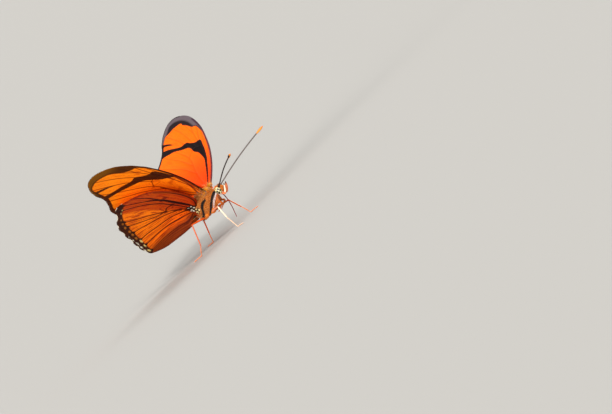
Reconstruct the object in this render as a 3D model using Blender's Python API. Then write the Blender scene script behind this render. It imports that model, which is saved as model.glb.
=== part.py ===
"""A julia butterfly at life size, standing on four legs with its wings half raised.

Everything is measured in the body's own frame, in millimetres: X runs forward to the head,
Y to the butterfly's left and Z up, from the middle of the body level with the forewing roots.
An empty named stance lifts that frame on to the floor and tips the head up a little.
"""
import math

import bmesh
import bpy
import numpy as np
from mathutils import Euler, Matrix, Vector
from mathutils.geometry import delaunay_2d_cdt

MM = 0.001
GAP = 0.3                      # left between pieces that touch
WELD = 0.001                   # merge distance of a tube's caps
SHARP_EDGE = math.radians(50)
LIMB_STEP, FINE_STEP, ANTENNA_STEP = 1.0, 0.8, 1.8    # spacing of a tube's rings

# How the body stands
HEAD_UP = math.radians(4.0)    # the body's slope on the floor
ROOT_HEIGHT = 15.5             # forewing roots above the floor
FLOOR_X, FLOOR_Y = 2.7, -2.09   # moves the middle of the whole box to the origin
SIDES = {"right": -1, "left": 1}

# Thorax: x, half width, top and bottom, from the abdomen to the neck
THORAX_STATIONS = [(-9.2, 0.9, -1.8, -4.2), (-8.2, 1.6, -0.7, -5.4), (-6.5, 2.25, 0.5, -6.4),
                   (-4.5, 2.6, 1.2, -6.8), (-2.5, 2.65, 1.3, -6.7), (-0.5, 2.45, 0.9, -6.2),
                   (1.0, 1.9, -0.1, -5.5), (2.0, 1.0, -1.6, -4.4)]
THORAX_SQUARENESS = 2.3        # 2 is an ellipse
THORAX_STEP, THORAX_SIDES = 1.0, 24
# Coxae, the first joints of the legs: x, y, z of the middle and the three half sizes
COXAE = [((0.5, 0.95, -5.2), (0.95, 0.7, 1.1)), ((-3.3, 1.2, -6.2), (1.6, 0.85, 1.15)),
         ((-6.6, 1.15, -5.9), (1.6, 0.85, 1.15))]
COXA_SLANT = math.radians(30)
COXA_FINENESS = (14, 8)        # points round and from pole to pole

# Head
HEAD_MIDDLE, HEAD_HALF = (3.75, 0.0, -3.1), (1.9, 1.55, 1.75)
EYE_MIDDLE, EYE_HALF = (3.8, 1.35, -2.9), (1.12, 0.76, 1.3)
EYE_TILT = math.radians(-12)
HEAD_FINENESS, EYE_FINENESS = (24, 16), (20, 12)
PALP_ROUTE = [(3.9, 0.68, -4.2), (4.6, 0.72, -5.0), (5.6, 0.76, -4.2), (6.5, 0.74, -3.1),
              (6.9, 0.7, -2.5)]
PALP_RADII = [0.36, 0.43, 0.46, 0.38, 0.2]
PROBOSCIS_ROUTE = [(3.2, 0, -4.3), (3.35, 0, -6.1), (2.85, 0, -8.4), (2.2, 0, -10.4), (1.0, 0, -13.2)]
PROBOSCIS_RADII = [0.3, 0.3, 0.27, 0.25, 0.18]
ANTENNA_BASE = (4.7, 0.6, -2.1)
ANTENNA_TIPS = {"right": (23.3, 12.0, 3.3), "left": (24.8, 12.0, 1.8)}
ANTENNA_ARCH = 0.7             # how far the middle rises off the straight line
ANTENNA_SHAFT, ANTENNA_TIP = 0.25, 0.2
CLUB_LENGTH = 3.6
# Radii of the club, as shares of its length
CLUB_PROFILE = [(0.0, 0.28), (0.5, 0.46), (0.85, 0.41)]
SHAFT_MARKS = (0.0, 0.3, 0.6)

# Abdomen
ABDOMEN_FRONT, ABDOMEN_END = -8.4, -25.5
ABDOMEN_LEVEL, ABDOMEN_DROOP = -2.95, 0.6
ABDOMEN_RADIUS, WAIST_RADIUS, ABDOMEN_TIP = 1.38, 0.95, 0.35
ABDOMEN_SEGMENTS, SEGMENT_RINGS, ABDOMEN_SIDES = 8, 4, 20
SEGMENT_PINCH, PINCH_SHARPNESS = 0.07, 3
WAIST_SHARE = 0.3              # share of the length that widens from the waist
TAPER_START, TAPER_POWER = 0.45, 2.2

# Legs: hip, knee and ankle in the body frame, then heel and toe as x, y on the floor
LEG_FLOOR_RISE = 0.19          # middle of the foot above the floor, less than its radius
HEEL_LIFT = 0.15               # the heel is this much higher
PAD_SHARE = 0.35               # where the foot comes down, from heel to toe
LEGS = {
    "midleg_right": ((-3.4, -1.4, -6.5), (1.0, -4.0, -6.4), (1.8, -5.9, -11.0), (2.7, -6.5), (5.4, -7.3)),
    "midleg_left": ((-3.4, 1.4, -6.5), (0.8, 4.0, -7.5), (1.3, 5.9, -12.0), (2.1, 6.5), (4.8, 7.4)),
    "hindleg_right": ((-6.8, -1.4, -6.3), (-10.4, -4.7, -4.9), (-12.8, -6.0, -11.6),
                      (-15.0, -6.6), (-18.0, -7.2)),
    "hindleg_left": ((-6.8, 1.4, -6.3), (-10.9, 4.6, -4.8), (-14.6, 6.0, -11.0),
                     (-16.4, 6.7), (-19.2, 7.3)),
}
# Along each leg: the stretch, how far along it, and the radius there
LEG_PROFILE = [("femur", 0.0, 0.36), ("femur", 0.5, 0.4), ("femur", 0.9, 0.34), ("femur", 1.0, 0.32),
               ("tibia", 0.12, 0.29), ("tibia", 0.55, 0.29), ("tibia", 1.0, 0.28), ("foot", 0.75, 0.25)]
PAD_RADIUS, TOE_RADIUS = 0.25, 0.22
FLOOR_BLOCK = (0.08, 0.08, 0.01)    # metres
FORELEG_ROUTE = [(0.6, 1.0, -5.6), (1.5, 1.2, -6.55), (0.4, 1.4, -7.05), (-1.6, 1.2, -7.9)]
FORELEG_RADII = [0.34, 0.36, 0.32, 0.2]

# Wings: thickness and ridges
MEMBRANE = 0.5                 # thickness of the sheet
RIDGE_ROOT, RIDGE_MARGIN = 0.24, 0.12    # height of a vein on each face
RIDGE_HALF_WIDTH = 0.42
RIM_STEP, VEIN_STEP, FILL_STEP = 1.7, 2.1, 2.9
RIM_CLEAR, POINT_CLEAR, RIDGE_CLEAR, FILL_CLEAR = 0.75, 0.62, 0.4, 1.6
ROW_STEP = 2.5
PLAN_WELD = 0.02               # plan points nearer than this are one
CHORD_UNIT = 10.0              # chord at which camber and twist are given
SLOPE_STEP = 0.05              # half the span over which a slope is read

# Flat wings: s runs out from the root along the span, t forward to the costa
FOREWING_SPAN, HINDWING_SPAN = 42.0, 28.0
FOREWING_OUTLINE = [(-1.6, 0.9), (0, 1.1), (4, 3.0), (9, 5.0), (15, 6.6), (21, 7.3), (27, 7.4), (33, 6.3),
                    (37.3, 4.3), (40.0, 1.7), (41.4, -1.0), (41.1, -3.4), (39.2, -5.8), (36.3, -7.6),
                    (33.2, -8.7), (31.3, -9.6), (29.6, -11.2), (27.9, -13.0), (25.4, -14.3),
                    (22.4, -14.4), (19, -13.0), (15, -10.8), (10, -7.4), (5, -3.9), (0.5, -1.5),
                    (-1.6, -1.3)]
HINDWING_OUTLINE = [(-2.0, -2.6), (0.1, -2.0), (1.4, 0.4), (3.8, 2.1), (8, 4.1), (12.5, 5.6), (17, 6.4),
                    (21, 6.2), (24.2, 4.6), (27.0, 1.6), (28.9, -1.6), (29.1, -4.6), (27.7, -7.2),
                    (26.5, -9.4), (25.0, -12.6), (22.8, -15.7), (19.9, -18.3), (17.2, -20.4),
                    (14.6, -22.4), (11.6, -24.4), (9.3, -25.4), (7.2, -25.5), (5.2, -23.7), (3.6, -21.0),
                    (2.1, -16.4), (1.1, -12.4), (0.4, -8.6), (0, -6.0), (-2.0, -5.6)]
# Main veins of each wing, from the root or the cell out to the margin
FOREWING_VEINS = [
    [(0.2, 0.7), (4, 2.2), (9, 4.2), (15, 5.9), (21, 6.9)],
    [(0.2, 0.1), (6, 2.1), (12, 3.5), (18.5, 4.3), (25, 5.4), (30.4, 6.6)],
    [(13, 3.7), (19, 5.7), (25.5, 7.0)],
    [(18.5, 4.3), (26, 4.1), (31, 4.4), (35.4, 4.8)],
    [(26, 4.1), (33, 2.6), (40.3, 0.3)],
    [(18.5, 4.3), (19.6, 2.6), (19.6, 0.9), (17.8, -1.2)],
    [(19.6, 2.6), (28, 1.3), (36, -1.2), (40.6, -3.1)],
    [(19.6, 0.9), (27, -1.0), (34, -3.9), (38.4, -5.7)],
    [(0.2, -0.5), (5, -1.1), (10, -1.3), (17.8, -1.2), (25, -4.1), (31, -6.4), (35.7, -7.4)],
    [(13.6, -1.4), (20, -4.3), (26, -7.6), (30.7, -9.6)],
    [(8.6, -1.3), (15, -4.6), (21, -8.7), (27.4, -12.6)],
    [(0.6, -1.0), (6, -3.7), (12, -7.6), (18, -11.6), (23.4, -13.8)],
]
HINDWING_VEINS = [
    [(0.2, -2.6), (2.6, 0.3), (7, 2.8), (13, 4.6), (19.5, 5.2)],
    [(0.2, -3.0), (4, -2.0), (9, -0.8), (14, 0.4), (20, 1.9), (25.4, 2.2)],
    [(14, 0.4), (21, -0.3), (28.2, -2.2)],
    [(0.2, -3.5), (3, -3.5), (9, -2.3), (15, -1.6), (21, -2.6), (28.0, -5.6)],
    [(9, -2.3), (10.4, -4.0), (10.0, -6.0)],
    [(0.2, -4.0), (5, -4.6), (10, -6.0), (15, -8.0), (20, -10.4), (25.0, -11.9)],
    [(10, -6.0), (13, -9.0), (20, -13.4), (22.6, -15.0)],
    [(5, -4.6), (8, -6.6), (10.5, -8.7), (13, -11.5), (16.5, -15.5), (18.7, -18.6)],
    [(0.3, -4.4), (3.5, -5.3), (6, -7.6), (8, -10.2), (10, -13.5), (12.5, -17.5), (14.4, -21.8)],
    [(0.4, -4.9), (3, -6.9), (5, -10.2), (8, -15.6), (11.6, -23.6)],
    [(0.4, -5.4), (2.6, -10.0), (5.0, -16.4), (8.0, -24.6)],
]

# The two kinds of wing, and where the right one's flat plan starts from the body
FOREWING_FORM = {"root": (0.0, 2.48, 0.0), "span": FOREWING_SPAN,
                 "outline": FOREWING_OUTLINE, "veins": FOREWING_VEINS}
HINDWING_FORM = {"root": (-3.15, 2.48, -1.1), "span": HINDWING_SPAN,
                 "outline": HINDWING_OUTLINE, "veins": HINDWING_VEINS}
FOLD_REACH = 7.0               # the inner margin curls down within this far of the body
FOLD_START, FOLD_FULL = 4.0, 9.0
# How each wing is held: sweep (tip forward), dihedral (tip up) and pitch (costa down) in degrees,
# then how far it leaves the flat: bend at the end of the span, camber at 10 of chord, twist at the
# end of the span and 10 of chord, and how steeply the inner margin folds down
WING_SETS = {
    "forewing_right": (FOREWING_FORM, (-11.3, 51.1, 7.1), (-3.4, -0.83, 2.4, 0.0)),
    "forewing_left": (FOREWING_FORM, (-14.3, 40.2, 22.2), (-3.5, -0.9, 3.1, 0.0)),
    "hindwing_right": (HINDWING_FORM, (-17.4, 43.4, 1.6), (-1.6, -0.43, -1.0, 0.6)),
    "hindwing_left": (HINDWING_FORM, (-14.9, 34.9, 2.5), (-1.56, -0.43, -1.27, 0.66)),
}

# Colour, roughness
FINISHES = {
    "wing_scales": ((0.90, 0.22, 0.01, 1), 0.55),
    "thorax_hair": ((0.62, 0.27, 0.06, 1), 0.8),
    "abdomen_scales": ((0.50, 0.18, 0.03, 1), 0.75),
    "head_hair": ((0.70, 0.30, 0.08, 1), 0.75),
    "eye": ((0.72, 0.68, 0.42, 1), 0.2),
    "antenna": ((0.02, 0.02, 0.02, 1), 0.45),
    "proboscis": ((0.16, 0.01, 0.01, 1), 0.35),
    "leg": ((0.80, 0.24, 0.05, 1), 0.5),
}


def clear_scene():
    for item in list(bpy.data.objects):
        bpy.data.objects.remove(item, do_unlink=True)


def collection(name):
    made = bpy.data.collections.new(name)
    bpy.context.scene.collection.children.link(made)
    return made


def finish(name):
    """A Principled material from the table of finishes."""
    found = bpy.data.materials.get(name)
    if found:
        return found
    colour, roughness = FINISHES[name]
    made = bpy.data.materials.new(name)
    made.use_nodes = True
    shader = made.node_tree.nodes["Principled BSDF"]
    shader.inputs["Base Color"].default_value = colour
    shader.inputs["Roughness"].default_value = roughness
    shader.inputs["Metallic"].default_value = 0.0
    made.diffuse_color = colour
    return made


def sided(point, side):
    """The same place on the left (1) or the right (-1) of the body."""
    return (point[0], abs(point[1]) * SIDES[side], point[2])


def place(name, mesh, group):
    """An object of a mesh that is in body millimetres, carried by the stance."""
    mesh.transform(Matrix.Scale(MM, 4))
    item = bpy.data.objects.new(name, mesh)
    group.objects.link(item)
    item.parent = STANCE
    return item


def face_outwards(work):
    """Turns every face of one closed surface to point out."""
    bmesh.ops.recalc_face_normals(work, faces=work.faces)
    if work.calc_volume(signed=True) < 0:
        bmesh.ops.reverse_faces(work, faces=work.faces)


def mesh_of(work, name):
    face_outwards(work)
    mesh = bpy.data.meshes.new(name)
    work.to_mesh(mesh)
    work.free()
    return mesh


def smooth_route(points, step, closed=False):
    """Points about one step apart on a smooth curve through the given ones."""
    given = np.array(points, float)
    count = len(given)
    if closed:
        padded = np.vstack([given[-1:], given, given[:2]])
    else:
        padded = np.vstack([2 * given[0] - given[1], given, 2 * given[-1] - given[-2]])
    out = []
    for i in range(count if closed else count - 1):
        a, b, c, d = padded[i:i + 4]
        pieces = max(1, round(float(np.linalg.norm(c - b)) / step))
        for k in range(pieces):
            f = k / pieces
            out.append(0.5 * (2 * b + (c - a) * f + (2 * a - 5 * b + 4 * c - d) * f * f
                              + (3 * b - 3 * c + d - a) * f ** 3))
    if not closed:
        out.append(given[-1])
    return np.array(out)


def tube(name, route, radii, step, group, sides=8):
    """A round limb along a smooth route, with its own radius at each point of the route."""
    given = np.array([(*p, r) for p, r in zip(route, radii)])
    stations = smooth_route(given, step)
    curve = bpy.data.curves.new(name, "CURVE")
    curve.dimensions = "3D"
    curve.bevel_depth = 1.0
    curve.bevel_resolution = sides // 2 - 2
    curve.use_fill_caps = True
    spline = curve.splines.new("POLY")
    spline.points.add(len(stations) - 1)
    for knot, (x, y, z, radius) in zip(spline.points, stations):
        knot.co = (x, y, z, 1)
        knot.radius = radius
    guide = bpy.data.objects.new(name + "_guide", curve)
    group.objects.link(guide)
    bpy.context.view_layer.update()
    evaluated = guide.evaluated_get(bpy.context.evaluated_depsgraph_get())
    raw = bpy.data.meshes.new_from_object(evaluated)
    bpy.data.objects.remove(guide, do_unlink=True)
    work = bmesh.new()
    work.from_mesh(raw)
    bmesh.ops.remove_doubles(work, verts=work.verts, dist=WELD)
    return place(name, mesh_of(work, name), group)


def loft(name, stations, sides, squareness, group):
    """A closed body through upright sections across X: x, half width, top, bottom."""
    work = bmesh.new()
    rings = []
    for x, half, top, bottom in stations:
        middle, rise = (top + bottom) / 2, (top - bottom) / 2
        ring = []
        for k in range(sides):
            turn = 2 * math.pi * (k + 0.5) / sides
            c, s = math.cos(turn), math.sin(turn)
            across = math.copysign(abs(c) ** (2 / squareness), c)
            up = math.copysign(abs(s) ** (2 / squareness), s)
            ring.append(work.verts.new((x, half * across, middle + rise * up)))
        rings.append(ring)
    for near, far in zip(rings, rings[1:]):
        for k in range(sides):
            work.faces.new((near[k], near[(k + 1) % sides], far[(k + 1) % sides], far[k]))
    work.faces.new(rings[0])
    work.faces.new(rings[-1])
    return place(name, mesh_of(work, name), group)


def egg(name, middle, half, slant, group, fineness):
    """An ellipsoid, tipped about Y."""
    work = bmesh.new()
    segments, rings = fineness
    bmesh.ops.create_uvsphere(work, u_segments=segments, v_segments=rings, radius=1)
    shape = Matrix.Translation(middle) @ Matrix.Rotation(slant, 4, "Y") @ Matrix.Diagonal((*half, 1))
    bmesh.ops.transform(work, matrix=shape, verts=work.verts)
    return place(name, mesh_of(work, name), group)


def apply_modifiers(item):
    bpy.context.view_layer.update()
    evaluated = item.evaluated_get(bpy.context.evaluated_depsgraph_get())
    mesh = bpy.data.meshes.new_from_object(evaluated)
    item.modifiers.clear()
    old, item.data = item.data, mesh
    bpy.data.meshes.remove(old)


def enclosed(island):
    """Signed volume inside one closed surface, given by its vertices."""
    total = 0.0
    for face in {face for vert in island for face in vert.link_faces}:
        first, *rest = [vert.co for vert in face.verts]
        for b, c in zip(rest, rest[1:]):
            total += first.dot(b.cross(c))
    return total / 6


def keep_largest(item):
    """Keeps the closed surface that holds most and drops the loose scraps."""
    work = bmesh.new()
    work.from_mesh(item.data)
    unseen = set(work.verts)
    islands = []
    while unseen:
        start = unseen.pop()
        island, front = {start}, [start]
        while front:
            here = front.pop()
            for edge in here.link_edges:
                other = edge.other_vert(here)
                if other in unseen:
                    unseen.discard(other)
                    island.add(other)
                    front.append(other)
        islands.append(island)
    largest = max(islands, key=enclosed)
    bmesh.ops.delete(work, geom=[v for v in work.verts if v not in largest], context="VERTS")
    face_outwards(work)
    work.to_mesh(item.data)
    work.free()


def hide_as_cutter(item):
    item.hide_render = True
    item.display_type = "WIRE"


def carve(item, cutters):
    """Cuts the item back from what it grows out of."""
    for cutter in cutters:
        hide_as_cutter(cutter)
        cut = item.modifiers.new("cut", "BOOLEAN")
        cut.operation = "DIFFERENCE"
        cut.object = cutter
    apply_modifiers(item)
    keep_largest(item)


def fuse(item, pieces, group_name):
    """Joins closed pieces into one body by one union."""
    group = collection(group_name)
    for piece in pieces:
        for owner in list(piece.users_collection):
            owner.objects.unlink(piece)
        group.objects.link(piece)
    union = item.modifiers.new("fuse", "BOOLEAN")
    union.operation = "UNION"
    union.operand_type = "COLLECTION"
    union.collection = group
    apply_modifiers(item)
    for piece in pieces:
        bpy.data.objects.remove(piece, do_unlink=True)
    bpy.data.collections.remove(group)
    keep_largest(item)


def make_thorax(name, grow, group):
    """The thorax with its six coxae; grow swells it, to cut its neighbours back."""
    stations = smooth_route(THORAX_STATIONS, THORAX_STEP)
    x, half, top, bottom = stations.T
    stations = np.column_stack([x, half + grow, top + grow, bottom - grow])
    stations[0][0] -= grow
    stations[-1][0] += grow
    thorax = loft(name, stations, THORAX_SIDES, THORAX_SQUARENESS, group)
    coxae = []
    for middle, half_sizes in COXAE:
        for side in SIDES:
            swollen = [size + grow for size in half_sizes]
            coxae.append(egg("coxa", sided(middle, side), swollen, COXA_SLANT, group, COXA_FINENESS))
    fuse(thorax, coxae, name + "_coxae")
    return thorax


def make_abdomen(group):
    """A tapering barrel pinched in between its segments."""
    length = ABDOMEN_FRONT - ABDOMEN_END
    steps = ABDOMEN_SEGMENTS * SEGMENT_RINGS
    stations = []
    for k in range(steps + 1):
        f = k / steps
        widened = math.sin(min(f / WAIST_SHARE, 1) * math.pi / 2)
        belly = WAIST_RADIUS + (ABDOMEN_RADIUS - WAIST_RADIUS) * widened
        past = max(0, (f - TAPER_START) / (1 - TAPER_START))
        taper = 1 - (1 - ABDOMEN_TIP / ABDOMEN_RADIUS) * past ** TAPER_POWER
        seam = 1 - abs(math.sin(math.pi * f * ABDOMEN_SEGMENTS))
        pinch = 1 - SEGMENT_PINCH * seam ** PINCH_SHARPNESS
        radius = belly * taper * pinch
        level = ABDOMEN_LEVEL - ABDOMEN_DROOP * f * f
        stations.append((ABDOMEN_FRONT - length * f, radius, level + radius, level - radius))
    return loft("abdomen", stations, ABDOMEN_SIDES, 2.0, group)


def make_eye(name, side, grow, group):
    half = [size + grow for size in EYE_HALF]
    return egg(name, sided(EYE_MIDDLE, side), half, EYE_TILT, group, EYE_FINENESS)


def make_antenna(name, side, group):
    """A thin rod that arches a little and swells into a club."""
    base, tip = Vector(sided(ANTENNA_BASE, side)), Vector(sided(ANTENNA_TIPS[side], side))
    length = (tip - base).length
    club = 1 - CLUB_LENGTH / length
    marks = [(f, ANTENNA_SHAFT) for f in SHAFT_MARKS]
    marks += [(club + f * (1 - club), radius) for f, radius in CLUB_PROFILE]
    marks.append((1, ANTENNA_TIP))
    route, radii = [], []
    for f, radius in marks:
        route.append(base.lerp(tip, f) + Vector((0, 0, ANTENNA_ARCH * math.sin(math.pi * f))))
        radii.append(radius)
    return tube(name, route, radii, ANTENNA_STEP, group)


def on_floor(x, y, rise):
    """The body-frame point that stands the given rise above the floor."""
    z = (rise - ROOT_HEIGHT - x * math.sin(HEAD_UP)) / math.cos(HEAD_UP)
    return (x, y, z)


def make_leg(name, group):
    """Femur, tibia and a foot that lies along the floor."""
    hip, knee, ankle, heel, toe = LEGS[name]
    hip, knee, ankle = Vector(hip), Vector(knee), Vector(ankle)
    heel = Vector(on_floor(*heel, LEG_FLOOR_RISE + HEEL_LIFT))
    toe = Vector(on_floor(*toe, LEG_FLOOR_RISE))
    pad = heel.lerp(toe, PAD_SHARE)
    pad = Vector(on_floor(pad.x, pad.y, LEG_FLOOR_RISE))
    stretches = {"femur": (hip, knee), "tibia": (knee, ankle), "foot": (ankle, heel)}
    route, radii = [], []
    for stretch, f, radius in LEG_PROFILE:
        start, end = stretches[stretch]
        route.append(start.lerp(end, f))
        radii.append(radius)
    return tube(name, route + [pad, toe], radii + [PAD_RADIUS, TOE_RADIUS], LIMB_STEP, group)


def floor_block(group):
    """All that lies under the floor, to leave flats on the feet."""
    work = bmesh.new()
    bmesh.ops.create_cube(work, size=1)
    bmesh.ops.scale(work, vec=FLOOR_BLOCK, verts=work.verts)
    bmesh.ops.translate(work, vec=(0, 0, -FLOOR_BLOCK[2] / 2), verts=work.verts)
    block = bpy.data.objects.new("floor_block", mesh_of(work, "floor_block"))
    group.objects.link(block)
    return block


def smooth_step(value):
    value = min(max(value, 0.0), 1.0)
    return value * value * (3 - 2 * value)


def wing_point(name, s, t):
    """A point of the wing's middle surface in the body frame."""
    form, angles, (bend, camber, twist, fold) = WING_SETS[name]
    span = s / form["span"]
    chord = t / CHORD_UNIT
    rise = bend * span * abs(span) + camber * chord ** 2 + twist * span * chord
    near_body = max(FOLD_REACH - s, 0.0) ** 2 / FOLD_REACH
    rise -= fold * near_body * smooth_step((-t - FOLD_START) / (FOLD_FULL - FOLD_START))
    sweep, dihedral, pitch = (math.radians(a) for a in angles)
    turn = Matrix.Rotation(-dihedral, 3, "X") @ Matrix.Rotation(sweep, 3, "Z")
    point = turn @ Matrix.Rotation(pitch, 3, "Y") @ Vector((t, -s, rise))
    x, y, z = form["root"]
    point += Vector((x, -y, z))
    if name.endswith("left"):
        point.y = -point.y
    return point


def wing_normal(name, s, t):
    h = SLOPE_STEP
    along = wing_point(name, s + h, t) - wing_point(name, s - h, t)
    across = wing_point(name, s, t + h) - wing_point(name, s, t - h)
    return along.cross(across).normalized()


def line_distance(points, line):
    """Shortest distance of each point to a line of straight pieces."""
    best = np.full(len(points), np.inf)
    for a, b in zip(line, line[1:]):
        run = b - a
        f = np.clip(((points - a) @ run) / (run @ run), 0, 1)
        best = np.minimum(best, np.linalg.norm(points - (a + f[:, None] * run), axis=1))
    return best


def wing_plan(form):
    """Triangles of the flat wing whose edges run along the rim and the veins."""
    rim = smooth_route(form["outline"], RIM_STEP, closed=True)
    veins = [smooth_route(vein, VEIN_STEP) for vein in form["veins"]]
    points = [tuple(p) for p in rim]
    edges = [(k, (k + 1) % len(rim)) for k in range(len(rim))]
    rim_loop = np.vstack([rim, rim[:1]])
    for vein in veins:
        start = len(points)
        points += [tuple(p) for p in vein]
        edges += [(start + k, start + k + 1) for k in range(len(vein) - 1)]

    def add_if_clear(spot, clear):
        spot = np.array([spot])
        if line_distance(spot, rim_loop)[0] < RIM_CLEAR or not inside(spot[0], rim):
            return
        if np.min(np.linalg.norm(np.array(points) - spot, axis=1)) < clear:
            return
        if min(line_distance(spot, vein)[0] for vein in veins) < RIDGE_CLEAR:
            return
        points.append(tuple(spot[0]))

    for vein in veins:
        run = np.gradient(vein, axis=0)
        across = np.column_stack([-run[:, 1], run[:, 0]]) / np.linalg.norm(run, axis=1)[:, None]
        for k in range(len(vein) - 1):
            middle = (vein[k] + vein[k + 1]) / 2
            for sign in (1, -1):
                add_if_clear(middle + sign * RIDGE_HALF_WIDTH * across[k], POINT_CLEAR)
    low, high = rim.min(axis=0), rim.max(axis=0)
    row = 0
    t = low[1]
    while t < high[1]:
        s = low[0] + (row % 2) * FILL_STEP / 2
        while s < high[0]:
            add_if_clear((s, t), FILL_CLEAR)
            s += FILL_STEP
        t += ROW_STEP
        row += 1
    flat = [Vector(p) for p in points]
    found, _, faces, *_ = delaunay_2d_cdt(flat, edges, [list(range(len(rim)))], 1, PLAN_WELD)
    return np.array([tuple(v) for v in found]), faces, veins


def inside(spot, loop):
    """Whether a flat point lies within a closed outline."""
    x, y = spot
    crossed = False
    for (x1, y1), (x2, y2) in zip(loop, np.roll(loop, -1, axis=0)):
        if (y1 > y) != (y2 > y) and x < (x2 - x1) * (y - y1) / (y2 - y1) + x1:
            crossed = not crossed
    return crossed


def make_wing(name, group):
    """A curved sheet, split alike on both faces, with its veins raised in its own surface."""
    form = WING_SETS[name][0]
    flat, faces, veins = wing_plan(form)
    vein_away = np.min([line_distance(flat, vein) for vein in veins], axis=0)
    work = bmesh.new()
    tops, bottoms = [], []
    for (s, t), away in zip(flat, vein_away):
        reach = min(max(s, 0) / form["span"], 1)
        ridge = RIDGE_ROOT + (RIDGE_MARGIN - RIDGE_ROOT) * reach
        half = float(MEMBRANE / 2 + ridge * max(0.0, 1 - away / RIDGE_HALF_WIDTH))
        point = wing_point(name, s, t)
        normal = wing_normal(name, s, t)
        tops.append(work.verts.new(point + half * normal))
        bottoms.append(work.verts.new(point - half * normal))
    rim = {}
    for a, b, c in faces:
        work.faces.new((tops[a], tops[b], tops[c]))
        work.faces.new((bottoms[c], bottoms[b], bottoms[a]))
        for one, two in ((a, b), (b, c), (c, a)):
            if (two, one) in rim:
                del rim[(two, one)]
            else:
                rim[(one, two)] = True
    for one, two in rim:
        work.faces.new((tops[two], tops[one], bottoms[one]))
        work.faces.new((tops[two], bottoms[one], bottoms[two]))
    return place(name, mesh_of(work, name), group)


def dress(item, material):
    item.data.materials.clear()
    item.data.materials.append(finish(material))
    item.data.shade_smooth()
    item.data.set_sharp_from_angle(angle=SHARP_EDGE)


clear_scene()
BUTTERFLY = collection("julia_butterfly")
CUTTERS = collection("cutters")
STANCE = bpy.data.objects.new("stance", None)
BUTTERFLY.objects.link(STANCE)
STANCE.location = (FLOOR_X * MM, FLOOR_Y * MM, ROOT_HEIGHT * MM)
STANCE.rotation_euler = Euler((0, -HEAD_UP, 0))

thorax = make_thorax("thorax", 0.0, BUTTERFLY)
thorax_reach = make_thorax("thorax_reach", GAP, CUTTERS)
dress(thorax, "thorax_hair")

abdomen = make_abdomen(BUTTERFLY)
carve(abdomen, [thorax_reach])
dress(abdomen, "abdomen_scales")

head = egg("head", HEAD_MIDDLE, HEAD_HALF, 0.0, BUTTERFLY, HEAD_FINENESS)
head_reach = egg("head_reach", HEAD_MIDDLE, [h + GAP for h in HEAD_HALF], 0.0, CUTTERS, HEAD_FINENESS)
eye_reaches = []
for side in SIDES:
    eye = make_eye("eye_" + side, side, 0.0, BUTTERFLY)
    dress(eye, "eye")
    eye_reaches.append(make_eye("eye_reach_" + side, side, GAP, CUTTERS))
carve(head, [thorax_reach] + eye_reaches)
dress(head, "head_hair")

for side in SIDES:
    palp_route = [sided(p, side) for p in PALP_ROUTE]
    palp = tube("palp_" + side, palp_route, PALP_RADII, FINE_STEP, BUTTERFLY)
    antenna = make_antenna("antenna_" + side, side, BUTTERFLY)
    foreleg_route = [sided(p, side) for p in FORELEG_ROUTE]
    foreleg = tube("foreleg_" + side, foreleg_route, FORELEG_RADII, FINE_STEP, BUTTERFLY)
    carve(palp, [head_reach])
    carve(antenna, [head_reach])
    carve(foreleg, [thorax_reach])
    dress(palp, "head_hair")
    dress(antenna, "antenna")
    dress(foreleg, "leg")
proboscis = tube("proboscis", PROBOSCIS_ROUTE, PROBOSCIS_RADII, LIMB_STEP, BUTTERFLY)
carve(proboscis, [head_reach])
dress(proboscis, "proboscis")

under_floor = floor_block(CUTTERS)
for name in LEGS:
    leg = make_leg(name, BUTTERFLY)
    carve(leg, [thorax_reach, under_floor])
    dress(leg, "leg")

for name in WING_SETS:
    wing = make_wing(name, BUTTERFLY)
    carve(wing, [thorax_reach])
    dress(wing, "wing_scales")

for cutter in list(CUTTERS.objects):
    bpy.data.objects.remove(cutter, do_unlink=True)
bpy.data.collections.remove(CUTTERS)
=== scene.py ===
# %% [markdown]
# # A julia butterfly, life size
# The plain solids of a butterfly are already there: head, thorax, abdomen, legs, feelers and four
# wings, each at its real size and in its place. This lesson gives them their looks. We keep every
# piece where its solid is, and make the fine surface over it: thin veined wings with painted
# scales, one skin for the body, hair, faceted eyes and jointed legs.

# %% Load the solids
import math

import bmesh
import bpy
import numpy as np
from mathutils import Matrix, Vector
from mathutils.geometry import delaunay_2d_cdt


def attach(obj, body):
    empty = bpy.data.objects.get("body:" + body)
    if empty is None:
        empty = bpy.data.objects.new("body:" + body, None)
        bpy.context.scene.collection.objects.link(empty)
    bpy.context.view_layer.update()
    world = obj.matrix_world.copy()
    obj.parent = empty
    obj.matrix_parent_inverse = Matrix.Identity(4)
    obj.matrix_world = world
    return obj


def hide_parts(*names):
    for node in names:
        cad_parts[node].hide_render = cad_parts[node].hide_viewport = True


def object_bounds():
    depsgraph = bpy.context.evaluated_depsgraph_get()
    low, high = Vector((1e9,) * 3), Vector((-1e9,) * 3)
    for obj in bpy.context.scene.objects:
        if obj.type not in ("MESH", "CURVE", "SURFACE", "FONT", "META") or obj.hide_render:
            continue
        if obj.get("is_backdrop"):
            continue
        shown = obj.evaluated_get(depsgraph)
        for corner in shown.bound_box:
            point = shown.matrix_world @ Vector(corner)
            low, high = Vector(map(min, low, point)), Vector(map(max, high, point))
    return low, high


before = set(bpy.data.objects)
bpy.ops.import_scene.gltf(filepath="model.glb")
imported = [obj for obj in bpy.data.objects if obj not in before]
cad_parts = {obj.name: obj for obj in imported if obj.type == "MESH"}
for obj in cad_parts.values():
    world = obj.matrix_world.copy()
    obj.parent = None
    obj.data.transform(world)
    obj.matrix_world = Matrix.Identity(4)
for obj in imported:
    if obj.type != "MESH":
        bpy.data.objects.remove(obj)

cad_box = [list(corner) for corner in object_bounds()]
print("solids:", len(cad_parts), "box in mm:", [[round(v * 1000, 1) for v in c] for c in cad_box])

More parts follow.
